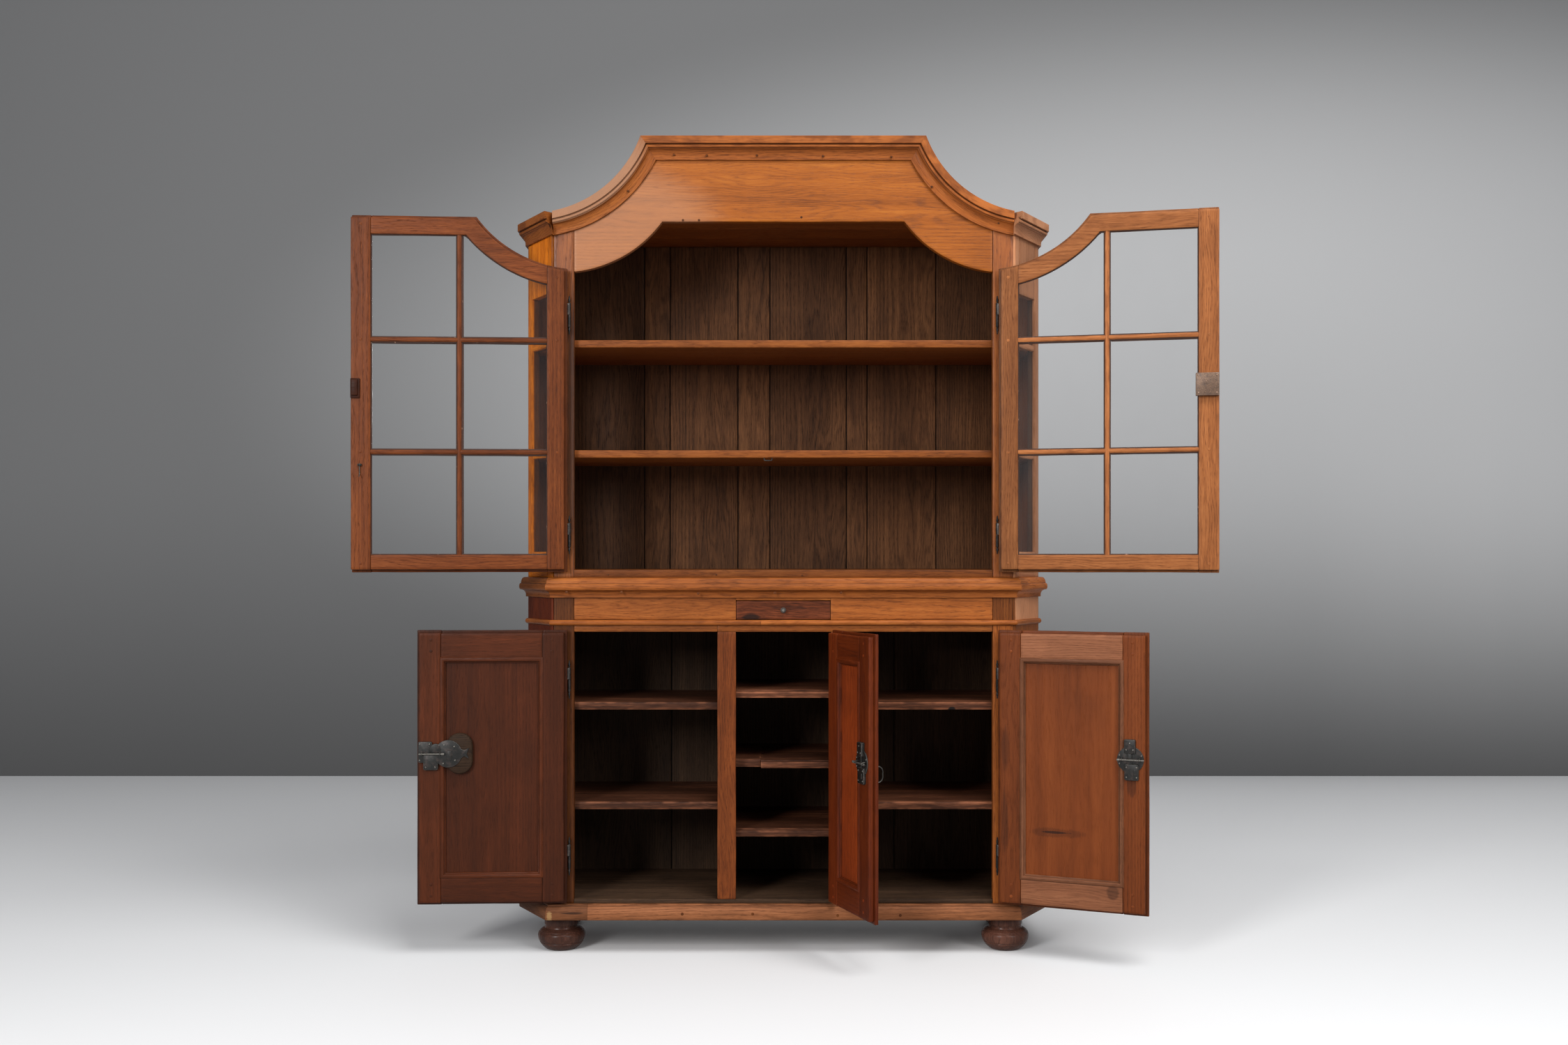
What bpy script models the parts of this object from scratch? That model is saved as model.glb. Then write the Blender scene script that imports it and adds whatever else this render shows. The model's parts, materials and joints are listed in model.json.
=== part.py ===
"""Two-stage oak vitrine cabinet with canted corners, glazed upper doors and panelled lower doors.

Lengths are metres, +Z is up and the front faces -Y. The carcase is drawn with y = 0 on the front
face of its stiles and y growing towards the back. Doors are drawn shut and then swung about the
empties on their hinge pins, so the cabinet stands with its doors open.
"""
import math

import bmesh
import bpy
from mathutils import Vector

# Clearances
FIT = 0.0003  # between pieces that touch
DOOR_CLEARANCE = 0.001  # between a door's body and its opening
DRAWER_CLEARANCE = 0.0008  # between the drawer and its opening

# Plan of the carcase
BODY_HALF = 0.664  # half width over the sides
BODY_DEPTH = 0.390
CANT_WIDTH = 0.087  # how far a canted corner reaches sideways
CANT_DEPTH = 0.137  # and how far back
CORNER_EDGE = 0.006  # edge of the cant board that shows beside a stile
STILE_WIDTH = 0.051
FRAME_THICKNESS = 0.022
SIDE_THICKNESS = 0.020
BACK_THICKNESS = 0.014

# Heights, from the floor up
FOOT_HEIGHT = 0.088
PLINTH_HEIGHT = 0.038
FLOOR_THICKNESS = 0.0107
LOWER_OPENING_HEIGHT = 0.672
RAIL_HEIGHT = 0.0158  # rail between the lower doors and the bead
BEAD_HEIGHT = 0.014
DRAWER_OPENING_HEIGHT = 0.049
STRIP_HEIGHT = 0.007  # frieze above the drawer
WAIST_HEIGHT = 0.0505
UPPER_FLOOR_THICKNESS = 0.0195
UPPER_SPRING_HEIGHT = 0.7485  # upper opening at the stiles
ARCH_RISE = 0.126  # from there to the flat of the arch
CEILING_ABOVE_ARCH = 0.014
CEILING_THICKNESS = 0.016

# Arch and cornice, which sweep up from the corners to a flat middle
ARCH_RADIUS = 0.3165
ARCH_CENTRE_OUT = 0.0325  # centre of the arc beyond the stile's inner edge
CORNICE_ABOVE_SPRING = 0.0915  # lower edge of the cornice at the corners
CORNICE_RISE = 0.1887
CORNICE_RADIUS = 0.350
CORNICE_CENTRE_OUT = 0.056  # centre of the arc beyond the front corner
CORNICE_HEIGHT = 0.056
CORNICE_PROJECTION = 0.026
ARCH_BOARD_COVER = 0.045  # how far the arch board runs up behind the cornice
ARC_STEPS = 12

# Mouldings
PLINTH_PROJECTION = 0.022
PLINTH_BEARING = 0.100  # width of the plinth frame under the carcase
WAIST_PROJECTION = 0.0225

# Feet
FOOT_RADIUS = 0.060
FOOT_COLLAR_RADIUS = 0.0435
FOOT_BASE_RADIUS = 0.040
BUN_MIDDLE = 0.036  # height of the bun's widest place
BUN_HALF_HEIGHT = 0.026
COLLAR_BOTTOM = 0.062
COLLAR_GROOVE = 0.004  # height of the groove under the collar
SPIGOT_RADIUS = 0.0125
SPIGOT_LENGTH = 0.025
FRONT_FOOT_INSET = 0.011  # front feet, in from the front corners
FRONT_FOOT_Y = 0.065
REAR_FOOT_INSET = 0.066
FOOT_SIDES = 24

# Lower stage inside
MIDDLE_HALF = 0.119  # half width of the middle opening
MUNTIN_WIDTH = 0.047
PARTITION_THICKNESS = 0.018
DUST_BOARD_THICKNESS = 0.018
RUNNER_WIDTH = 0.025
SHELF_THICKNESS = 0.0195
SIDE_SHELF_HEIGHTS = (0.2415, 0.4933)  # shelf tops above the floor
MIDDLE_SHELF_HEIGHTS = (0.1724, 0.3457, 0.5233)
UPPER_SHELF_HEIGHTS = (0.3025, 0.5810)
LOCK_NOTCH_DEPTH = 0.022  # cut from the middle shelf to clear a lock
LOCK_NOTCH_CLEARANCE = 0.004
NOTCHED_SHELF = 1

# Doors
LIP = 0.006  # how far a door laps over its frame
LIP_THICKNESS = 0.010
DOOR_BODY_DEPTH = 0.013  # part of the door that enters the opening
MEETING_GAP = 0.002
LOWER_STILE = 0.061
LOWER_RAIL = 0.070
PANEL_THICKNESS = 0.008
PANEL_RECESS = 0.006  # depth of the panel below the door's outer face
UPPER_STILE = 0.049
UPPER_RAIL = 0.044
GLAZING_BAR = 0.0175
BAR_DEPTH = 0.013  # glazing bars, from the door's outer face inwards
GLASS_THICKNESS = 0.003
GLASS_LAP = 0.006  # glass held behind its frame

# Canted windows
CANT_MARGIN = 0.030  # frame beside the cant's glass
CANT_SILL = 0.046  # frame below it, above the upper floor's top
CANT_HEAD = 0.191  # frame above it, below the ceiling
CANT_BAR_DEPTH = 0.010

# Hinges
KNUCKLE_RADIUS = 0.0038
KNUCKLE_LENGTH = 0.030
PIN_RADIUS = 0.0019
FINIAL_RADIUS = 0.0028
FINIAL_LENGTH = 0.018
AXIS_OUT = 0.0042  # hinge axis beyond the door's edge
LEAF_THICKNESS = 0.002
LEAF_DEPTH = 0.012  # leaf let into the stile
HINGE_SIDES = 12
LOWER_HINGE_INSETS = (0.110, 0.119)  # from the opening's lower and upper edge
UPPER_HINGE_INSETS = (0.0875, 0.110)  # from its lower edge and from the foot of the arch

# Locks and catches
LOCK_WIDTH = 0.058
LOCK_HEIGHT = 0.090
LOCK_COVER = 0.0025  # wall of the lock over its bolt
BOLT_LENGTH = 0.050
BOLT_HEIGHT = 0.012
BOLT_THICKNESS = 0.005
LOWER_LOCK_HEIGHT = 0.372  # lock centre above the lower opening's edge
UPPER_LOCK_HEIGHT = 0.4495
HOOK_HEIGHT = 0.260  # hook's pivot above the upper opening's edge
HOOK_LENGTH = 0.030
HOOK_WIRE = 0.004
HOOK_INSET = 0.024  # pivot from the meeting edge
HOOK_PIN_RADIUS = 0.0015
LUG_THICKNESS = 0.003

# Drawer
DRAWER_FRONT_THICKNESS = 0.018
DRAWER_WALL = 0.008
DRAWER_LENGTH = 0.330
DRAWER_SIDE_HEIGHT = 0.042
KNOB_RADIUS = 0.0045
KNOB_LENGTH = 0.016

# How far each door stands open, in degrees from shut
OPEN_ANGLES = {
    "upper_left": 176.5,
    "upper_right": 167.0,
    "lower_left": 177.7,
    "lower_middle": 112.0,
    "lower_right": 157.4,
}

# Places worked out from the sizes above
FRONT_HALF = BODY_HALF - CANT_WIDTH
OPENING_HALF = FRONT_HALF - STILE_WIDTH
CORNER = FRONT_HALF + CORNER_EDGE
INSIDE_BACK = BODY_DEPTH - BACK_THICKNESS
PLINTH_TOP = FOOT_HEIGHT + PLINTH_HEIGHT
FLOOR_TOP = PLINTH_TOP + FLOOR_THICKNESS
LOWER_TOP = FLOOR_TOP + LOWER_OPENING_HEIGHT
BEAD_BOTTOM = LOWER_TOP + RAIL_HEIGHT
DRAWER_BOTTOM = BEAD_BOTTOM + BEAD_HEIGHT
DRAWER_TOP = DRAWER_BOTTOM + DRAWER_OPENING_HEIGHT
WAIST_BOTTOM = DRAWER_TOP + STRIP_HEIGHT
BASE_TOP = WAIST_BOTTOM + WAIST_HEIGHT
UPPER_BOTTOM = BASE_TOP + UPPER_FLOOR_THICKNESS
SPRING = UPPER_BOTTOM + UPPER_SPRING_HEIGHT
ARCH_TOP = SPRING + ARCH_RISE
UPPER_END_TOP = ARCH_TOP + CEILING_ABOVE_ARCH
ARCH_CENTRE_X = OPENING_HALF + ARCH_CENTRE_OUT
ARCH_CENTRE_Z = SPRING + math.sqrt(ARCH_RADIUS**2 - ARCH_CENTRE_OUT**2)
CORNICE_LOW = SPRING + CORNICE_ABOVE_SPRING
CORNICE_FLAT = CORNICE_LOW + CORNICE_RISE
CORNICE_CENTRE_X = FRONT_HALF + CORNICE_CENTRE_OUT
CORNICE_CENTRE_Z = CORNICE_LOW + math.sqrt(CORNICE_RADIUS**2 - CORNICE_CENTRE_OUT**2)
MUNTIN_OUT = MIDDLE_HALF + MUNTIN_WIDTH
PARTITION_NEAR = MIDDLE_HALF + (MUNTIN_WIDTH - PARTITION_THICKNESS) / 2
PARTITION_FAR = PARTITION_NEAR + PARTITION_THICKNESS
BOLT_FRONT = FRAME_THICKNESS + 2 * FIT
BOLT_BACK = BOLT_FRONT + BOLT_THICKNESS
LOCK_BACK = BOLT_BACK + FIT + LOCK_COVER
HINGE_Y = -LIP_THICKNESS
LOWER_HINGE_HEIGHTS = (LOWER_HINGE_INSETS[0], LOWER_OPENING_HEIGHT - LOWER_HINGE_INSETS[1])
UPPER_HINGE_HEIGHTS = (UPPER_HINGE_INSETS[0], UPPER_SPRING_HEIGHT - UPPER_HINGE_INSETS[1])
PANEL_FRONT = PANEL_RECESS - LIP_THICKNESS
PANEL_BACK = PANEL_FRONT + PANEL_THICKNESS
GLASS_FRONT = BAR_DEPTH - LIP_THICKNESS + FIT
MIDDLE_ANGLE = math.radians(OPEN_ANGLES["lower_middle"])
MIDDLE_SWING = AXIS_OUT + 2 * (MIDDLE_HALF + LIP)
MIDDLE_REACH = (LIP_THICKNESS + MIDDLE_SWING * math.sin(MIDDLE_ANGLE)
                - (LIP_THICKNESS + DOOR_BODY_DEPTH) * math.cos(MIDDLE_ANGLE))
FRONT_Y = (MIDDLE_REACH - BODY_DEPTH) / 2  # centres the open cabinet over the origin

# Colour, roughness and metallic value of each finish
FINISHES = {
    "honey_oak": ((0.42, 0.21, 0.085), 0.45, 0.0),
    "red_oak": ((0.27, 0.115, 0.055), 0.45, 0.0),
    "inner_oak": ((0.16, 0.085, 0.045), 0.60, 0.0),
    "dark_oak": ((0.045, 0.022, 0.016), 0.30, 0.0),
    "glass": ((0.80, 0.84, 0.84), 0.05, 0.0),
    "iron": ((0.16, 0.15, 0.145), 0.45, 0.9),
}

for old in list(bpy.data.objects):
    bpy.data.objects.remove(old)

root = bpy.data.objects.new("cabinet_frame", None)
root.location = (0.0, FRONT_Y, 0.0)
bpy.context.collection.objects.link(root)


def solid(name, bm):
    """Turn a closed bmesh into an object with its faces pointing out."""
    bmesh.ops.recalc_face_normals(bm, faces=bm.faces)
    mesh = bpy.data.meshes.new(name)
    bm.to_mesh(mesh)
    bm.free()
    made = bpy.data.objects.new(name, mesh)
    bpy.context.collection.objects.link(made)
    return made


def extruded(name, corners, step):
    """Extrude a flat outline by a step."""
    bm = bmesh.new()
    face = bm.faces.new([bm.verts.new(corner) for corner in corners])
    region = bmesh.ops.extrude_face_region(bm, geom=[face])
    moved = [item for item in region["geom"] if isinstance(item, bmesh.types.BMVert)]
    bmesh.ops.translate(bm, verts=moved, vec=step)
    return solid(name, bm)


def plan(name, outline, bottom, top):
    """Board cut to an outline seen from above."""
    return extruded(name, [(x, y, bottom) for x, y in outline], (0.0, 0.0, top - bottom))


def face(name, outline, front, back):
    """Board cut to an outline seen from the front."""
    return extruded(name, [(x, front, z) for x, z in outline], (0.0, back - front, 0.0))


def box(name, x, y, z):
    """Board between two limits along each axis."""
    return plan(name, [(x[0], y[0]), (x[1], y[0]), (x[1], y[1]), (x[0], y[1])], z[0], z[1])


def lofted(name, loops):
    """Skin a row of equal closed loops and cap both ends."""
    bm = bmesh.new()
    rows = [[bm.verts.new(point) for point in loop] for loop in loops]
    for near, far in zip(rows, rows[1:]):
        for i in range(len(near)):
            j = (i + 1) % len(near)
            bm.faces.new((near[i], near[j], far[j], far[i]))
    bm.faces.new(rows[0])
    bm.faces.new(list(reversed(rows[-1])))
    return solid(name, bm)


def turned(name, profile, centre, sides):
    """Spin a profile of (radius, height) points about a vertical line."""
    bm = bmesh.new()
    verts = [bm.verts.new((centre[0] + r, centre[1], centre[2] + z)) for r, z in profile]
    edges = [bm.edges.new(pair) for pair in zip(verts, verts[1:])]
    bmesh.ops.spin(bm, geom=verts + edges, cent=centre, axis=(0, 0, 1), dvec=(0, 0, 0),
                   angle=math.tau, steps=sides, use_merge=True)
    bmesh.ops.remove_doubles(bm, verts=bm.verts, dist=1e-6)
    made = solid(name, bm)
    made.data.shade_smooth()
    made.data.set_sharp_from_angle(angle=math.radians(40))
    return made


def rod(name, radius, start, length, axis, sides):
    """Round bar from a start point along the named axis."""
    direction = Vector([float(letter == axis) for letter in "xyz"])
    across = Vector((direction.y, direction.z, direction.x))
    other = direction.cross(across)
    ring = []
    for i in range(sides):
        turn = math.tau * i / sides
        ring.append(Vector(start) + radius * (math.cos(turn) * across + math.sin(turn) * other))
    return lofted(name, [ring, [point + length * direction for point in ring]])


def boolean(target, tool, operation):
    """Cut the tool from the target, or join it on, and drop the tool."""
    change = target.modifiers.new(operation.title(), "BOOLEAN")
    change.object = tool
    change.operation = operation
    change.solver = "EXACT"
    bpy.context.view_layer.update()
    graph = bpy.context.evaluated_depsgraph_get()
    mesh = bpy.data.meshes.new_from_object(target.evaluated_get(graph))
    target.modifiers.clear()
    target.data = mesh
    bpy.data.objects.remove(tool)
    return target


def join(target, *tools):
    for tool in tools:
        boolean(target, tool, "UNION")
    return target


def cut(target, *tools):
    for tool in tools:
        boolean(target, tool, "DIFFERENCE")
    return target


def keep(made, finish, parent=root, pivot=(0.0, 0.0, 0.0)):
    """Finish a piece and hang it from its parent, whose pivot is given in carcase places."""
    colour, roughness, metallic = FINISHES[finish]
    material = bpy.data.materials.new(made.name)
    material.use_nodes = True
    shader = material.node_tree.nodes["Principled BSDF"]
    shader.inputs["Base Color"].default_value = (*colour, 1.0)
    shader.inputs["Roughness"].default_value = roughness
    shader.inputs["Metallic"].default_value = metallic
    if finish == "glass":
        shader.inputs["Transmission Weight"].default_value = 1.0
    made.data.materials.clear()
    made.data.materials.append(material)
    made.parent = parent
    made.location = [-value for value in pivot]
    return made


def mirrored(points):
    """Outline for the left hand, from one drawn for the right."""
    return [(-x, z) for x, z in reversed(points)]


def sided(points, side):
    return points if side == "right" else mirrored(points)


# Canted corner: lines parallel to its outer face, measured inwards
CANT_RUN = Vector((BODY_HALF - CORNER, CANT_DEPTH))
CANT_LENGTH = CANT_RUN.length
CANT_ALONG = CANT_RUN / CANT_LENGTH
CANT_IN = Vector((-CANT_ALONG.y, CANT_ALONG.x))


def cant_point(along, inwards):
    """Point of the right canted corner, along it from the front and in from its outer face."""
    return Vector((CORNER, 0.0)) + along * CANT_ALONG + inwards * CANT_IN


def cant_x(y, inwards):
    along = (y - inwards * CANT_IN.y) / CANT_ALONG.y
    return cant_point(along, inwards).x


def cant_y(x, inwards):
    along = (x - CORNER - inwards * CANT_IN.x) / CANT_ALONG.x
    return cant_point(along, inwards).y


def inside_outline(front_half, front):
    """Full-width board inside the carcase, coming forward between the stiles."""
    inset = SIDE_THICKNESS + FIT
    behind = FRAME_THICKNESS + FIT
    wall = BODY_HALF - inset
    right = [
        (front_half, front),
        (front_half, behind),
        (cant_x(behind, inset), behind),
        (wall, cant_y(wall, inset)),
        (wall, INSIDE_BACK - FIT),
    ]
    return right + mirrored(right)


def side_outline(near):
    """Shelf between a partition and the right-hand end of the carcase."""
    inset = SIDE_THICKNESS + FIT
    behind = FRAME_THICKNESS + FIT
    wall = BODY_HALF - inset
    return [
        (near, behind),
        (cant_x(behind, inset), behind),
        (wall, cant_y(wall, inset)),
        (wall, INSIDE_BACK - FIT),
        (near, INSIDE_BACK - FIT),
    ]


def end_outline():
    """Side board and cant board of the right-hand end."""
    wall = BODY_HALF - SIDE_THICKNESS
    edge = FRONT_HALF + FIT
    return [
        (edge, 0.0),
        (CORNER, 0.0),
        (BODY_HALF, CANT_DEPTH),
        (BODY_HALF, BODY_DEPTH),
        (wall, BODY_DEPTH),
        (wall, cant_y(wall, SIDE_THICKNESS)),
        (edge, cant_y(edge, SIDE_THICKNESS)),
    ]


def moulding(name, profile, path, base):
    """Carry a profile of (out, up) points along a plan path, mitred at its corners."""
    points = [Vector(point) for point in path]
    normals = []
    for near, far in zip(points, points[1:]):
        run = (far - near).normalized()
        normals.append(Vector((run.y, -run.x)))
    loops = []
    for i, point in enumerate(points):
        before = normals[max(i - 1, 0)]
        after = normals[min(i, len(normals) - 1)]
        mitre = (before + after) / (1.0 + before.dot(after))
        loops.append([(*(point + out * mitre), base + up) for out, up in profile])
    return lofted(name, loops)


def body_path():
    """Outer line of the carcase from the back of its left side round to the back of its right."""
    right = [(CORNER, 0.0), (BODY_HALF, CANT_DEPTH), (BODY_HALF, BODY_DEPTH)]
    return mirrored(right) + right


def curve(centre, radii, start, end, steps):
    """Points of an elliptical arc, with angles in degrees."""
    points = []
    for i in range(steps + 1):
        turn = math.radians(start + (end - start) * i / steps)
        points.append((centre[0] + radii[0] * math.cos(turn), centre[1] + radii[1] * math.sin(turn)))
    return points


def cornice_profile():
    """Fascia, bead, fillet and cove of the cornice, from its lower edge up."""
    lip_out, lip_up = 0.27 * CORNICE_PROJECTION, 0.07 * CORNICE_HEIGHT
    fillet_out, fillet_up = 0.74 * CORNICE_PROJECTION, 0.38 * CORNICE_HEIGHT
    bead_up, fascia_up = 0.55 * CORNICE_HEIGHT, 0.65 * CORNICE_HEIGHT
    bead_out = 0.86 * CORNICE_PROJECTION
    cove = curve((fillet_out, lip_up), (fillet_out - lip_out, fillet_up - lip_up), 180, 90, 4)
    return ([(FIT, 0.0), (lip_out, 0.0)] + cove
            + [(bead_out, fillet_up), (bead_out, bead_up), (fillet_out, bead_up), (fillet_out, fascia_up),
               (CORNICE_PROJECTION, fascia_up), (CORNICE_PROJECTION, CORNICE_HEIGHT), (FIT, CORNICE_HEIGHT)])


def waist_profile():
    """Cove, bead and long ovolo of the waist moulding, from its lower edge up."""
    neck, cove_up = 0.25 * WAIST_PROJECTION, 0.10 * WAIST_HEIGHT
    shelf_out, shelf_up = 0.84 * WAIST_PROJECTION, 0.37 * WAIST_HEIGHT
    bead_up = 0.69 * WAIST_HEIGHT
    shoulder_out, top_out = 0.80 * WAIST_PROJECTION, 0.38 * WAIST_PROJECTION
    cove = curve((shelf_out, cove_up), (shelf_out - neck, shelf_up - cove_up), 180, 90, 3)
    bead_middle = (shelf_up + bead_up) / 2
    bead = curve((shelf_out, bead_middle), (WAIST_PROJECTION - shelf_out, bead_up - bead_middle), -75, 90, 4)
    ovolo = curve((top_out, bead_up), (shoulder_out - top_out, WAIST_HEIGHT - bead_up), 0, 90, 4)
    return ([(FIT, 0.0), (neck, 0.0)] + cove + bead + ovolo + [(FIT, WAIST_HEIGHT)])


def plinth_profile():
    """Stepped plinth frame, from the inner edge under the carcase to its moulded outer edge."""
    step_out, step_up = 0.90 * PLINTH_PROJECTION, 0.35 * PLINTH_HEIGHT
    upper_out, upper_up = 0.60 * PLINTH_PROJECTION, 0.88 * PLINTH_HEIGHT
    ovolo_up = 0.62 * PLINTH_HEIGHT
    ovolo = curve((upper_out, ovolo_up), (step_out - upper_out, upper_up - ovolo_up), 0, 90, 3)
    return ([(-PLINTH_BEARING, 0.0), (PLINTH_PROJECTION, 0.0), (PLINTH_PROJECTION, step_up),
             (step_out, step_up)] + ovolo
            + [(upper_out, PLINTH_HEIGHT), (-PLINTH_BEARING, PLINTH_HEIGHT)])


def bead_profile():
    radius = BEAD_HEIGHT / 2
    return [(FIT, 0.0)] + curve((FIT, radius), (radius, radius), -80, 80, 6) + [(FIT, BEAD_HEIGHT)]


def foot_profile():
    """Flattened bun, groove, collar and the spigot that enters the plinth."""
    bun = curve((0.0, BUN_MIDDLE), (FOOT_RADIUS, BUN_HALF_HEIGHT), -48, 44, 8)
    top = FOOT_HEIGHT - FIT
    groove = (FOOT_COLLAR_RADIUS - COLLAR_GROOVE / 2, COLLAR_BOTTOM - COLLAR_GROOVE)
    return ([(0.0, 0.0), (FOOT_BASE_RADIUS, 0.0)]
            + bun
            + [groove, (FOOT_COLLAR_RADIUS, COLLAR_BOTTOM), (FOOT_COLLAR_RADIUS, top),
               (SPIGOT_RADIUS, top), (SPIGOT_RADIUS, top + SPIGOT_LENGTH), (0.0, top + SPIGOT_LENGTH)])


def foot_places():
    """Plan places of the four feet by name."""
    front_x = FRONT_HALF - FRONT_FOOT_INSET
    rear_x = BODY_HALF - REAR_FOOT_INSET
    rear_y = BODY_DEPTH - REAR_FOOT_INSET
    return {
        "front_left": (-front_x, FRONT_FOOT_Y),
        "front_right": (front_x, FRONT_FOOT_Y),
        "rear_left": (-rear_x, rear_y),
        "rear_right": (rear_x, rear_y),
    }


def make_stand():
    """Four turned feet with spigots in a moulded plinth frame."""
    plinth = moulding("plinth", plinth_profile(), body_path(), FOOT_HEIGHT)
    socket_depth = SPIGOT_LENGTH + 2 * FIT
    for name, (x, y) in foot_places().items():
        socket_start = (x, y, FOOT_HEIGHT - socket_depth)
        cut(plinth, rod("socket", SPIGOT_RADIUS + 2 * FIT, socket_start, 2 * socket_depth, "z", FOOT_SIDES))
        foot = turned("foot_" + name, foot_profile(), Vector((x, y, 0.0)), FOOT_SIDES)
        keep(foot, "dark_oak")
    keep(plinth, "honey_oak")


def hinge_slots(post, axis_x, heights, base):
    """Mortises for the hinge leaves in the front of a post."""
    half = LEAF_THICKNESS / 2 + FIT
    for height in heights:
        low = base + height - KNUCKLE_LENGTH - FIT
        cut(post, box("mortise", (axis_x - half, axis_x + half), (-LEAF_DEPTH, LEAF_DEPTH + FIT),
                      (low, low + KNUCKLE_LENGTH + 2 * FIT)))


def make_hinge(name, axis_x, height):
    """Pin hinge: knuckle, pin and finials in one turning, with a leaf let into the carcase."""
    pin_top = KNUCKLE_LENGTH + 3 * FIT
    profile = [
        (0.0, -KNUCKLE_LENGTH - FINIAL_LENGTH),
        (FINIAL_RADIUS * 0.6, -KNUCKLE_LENGTH - FINIAL_LENGTH),
        (FINIAL_RADIUS, -KNUCKLE_LENGTH - FINIAL_LENGTH * 0.5),
        (FINIAL_RADIUS * 0.8, -KNUCKLE_LENGTH),
        (KNUCKLE_RADIUS, -KNUCKLE_LENGTH),
        (KNUCKLE_RADIUS, 0.0),
        (PIN_RADIUS, 0.0),
        (PIN_RADIUS, pin_top),
        (FINIAL_RADIUS, pin_top),
        (FINIAL_RADIUS, pin_top + FINIAL_LENGTH * 0.5),
        (FINIAL_RADIUS * 0.6, pin_top + FINIAL_LENGTH),
        (0.0, pin_top + FINIAL_LENGTH),
    ]
    hinge = turned(name, profile, Vector((axis_x, HINGE_Y, height)), HINGE_SIDES)
    half = LEAF_THICKNESS / 2
    leaf = box("leaf", (axis_x - half, axis_x + half), (HINGE_Y, LEAF_DEPTH),
               (height - KNUCKLE_LENGTH + FIT, height - FIT))
    keep(join(hinge, leaf), "iron")


def add_door_eyes(door, axis_x, door_edge, heights, base):
    """Knuckles on the door that turn on the hinge pins, each on a short leaf."""
    for height in heights:
        low = base + height + FIT
        start = (axis_x, HINGE_Y, low)
        leaf_x = sorted((axis_x, door_edge + math.copysign(LIP, door_edge - axis_x)))
        leaf = box("leaf", leaf_x, (HINGE_Y + FIT, HINGE_Y + LIP_THICKNESS / 2), (low, low + KNUCKLE_LENGTH))
        join(door, leaf, rod("eye", KNUCKLE_RADIUS, start, KNUCKLE_LENGTH, "z", HINGE_SIDES))
        bore_start = (axis_x, HINGE_Y, low - KNUCKLE_LENGTH)
        cut(door, rod("bore", PIN_RADIUS + FIT, bore_start, 3 * KNUCKLE_LENGTH, "z", HINGE_SIDES))


def make_base():
    """Carcase of the lower stage with its frieze, shelves and back."""
    floor_front = OPENING_HALF - FIT
    floor = plan("base_floor", inside_outline(floor_front, 0.0), PLINTH_TOP + FIT, FLOOR_TOP)
    keep(floor, "inner_oak")
    back_half = BODY_HALF - SIDE_THICKNESS - FIT
    back = box("base_back", (-back_half, back_half), (INSIDE_BACK, BODY_DEPTH), (PLINTH_TOP + FIT, BASE_TOP))
    keep(back, "inner_oak")
    bead_path = [(CORNER, 0.0), (BODY_HALF, CANT_DEPTH), (BODY_HALF, BODY_DEPTH)]
    for side in ("left", "right"):
        end = plan("base_end_" + side, sided(end_outline(), side), PLINTH_TOP + FIT, BASE_TOP)
        bead = moulding("bead", [(u - 2 * FIT, v) for u, v in bead_profile()],
                        sided(bead_path, side), BEAD_BOTTOM)
        keep(join(end, bead), "honey_oak")
        sign = 1.0 if side == "right" else -1.0
        stile_x = sorted((sign * OPENING_HALF, sign * FRONT_HALF))
        stile = box("base_stile_" + side, stile_x, (0.0, FRAME_THICKNESS), (PLINTH_TOP + FIT, BASE_TOP))
        hinge_slots(stile, sign * side_axis(), LOWER_HINGE_HEIGHTS, FLOOR_TOP)
        keep(stile, "honey_oak")
        make_partition(side, sign)
    make_frieze()
    make_lower_shelves()
    keep(moulding("waist_moulding", waist_profile(), body_path(), WAIST_BOTTOM), "honey_oak")


def make_partition(side, sign):
    """Muntin between two lower doors with the partition board behind it."""
    right = [
        (MIDDLE_HALF, 0.0),
        (MUNTIN_OUT, 0.0),
        (MUNTIN_OUT, FRAME_THICKNESS),
        (PARTITION_FAR, FRAME_THICKNESS),
        (PARTITION_FAR, INSIDE_BACK - FIT),
        (PARTITION_NEAR, INSIDE_BACK - FIT),
        (PARTITION_NEAR, FRAME_THICKNESS),
        (MIDDLE_HALF, FRAME_THICKNESS),
    ]
    partition = plan("partition_" + side, sided(right, side), FLOOR_TOP + FIT, LOWER_TOP - FIT)
    if sign > 0:
        hinge_slots(partition, middle_axis(), LOWER_HINGE_HEIGHTS, FLOOR_TOP)
    keep(partition, "honey_oak")


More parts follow.
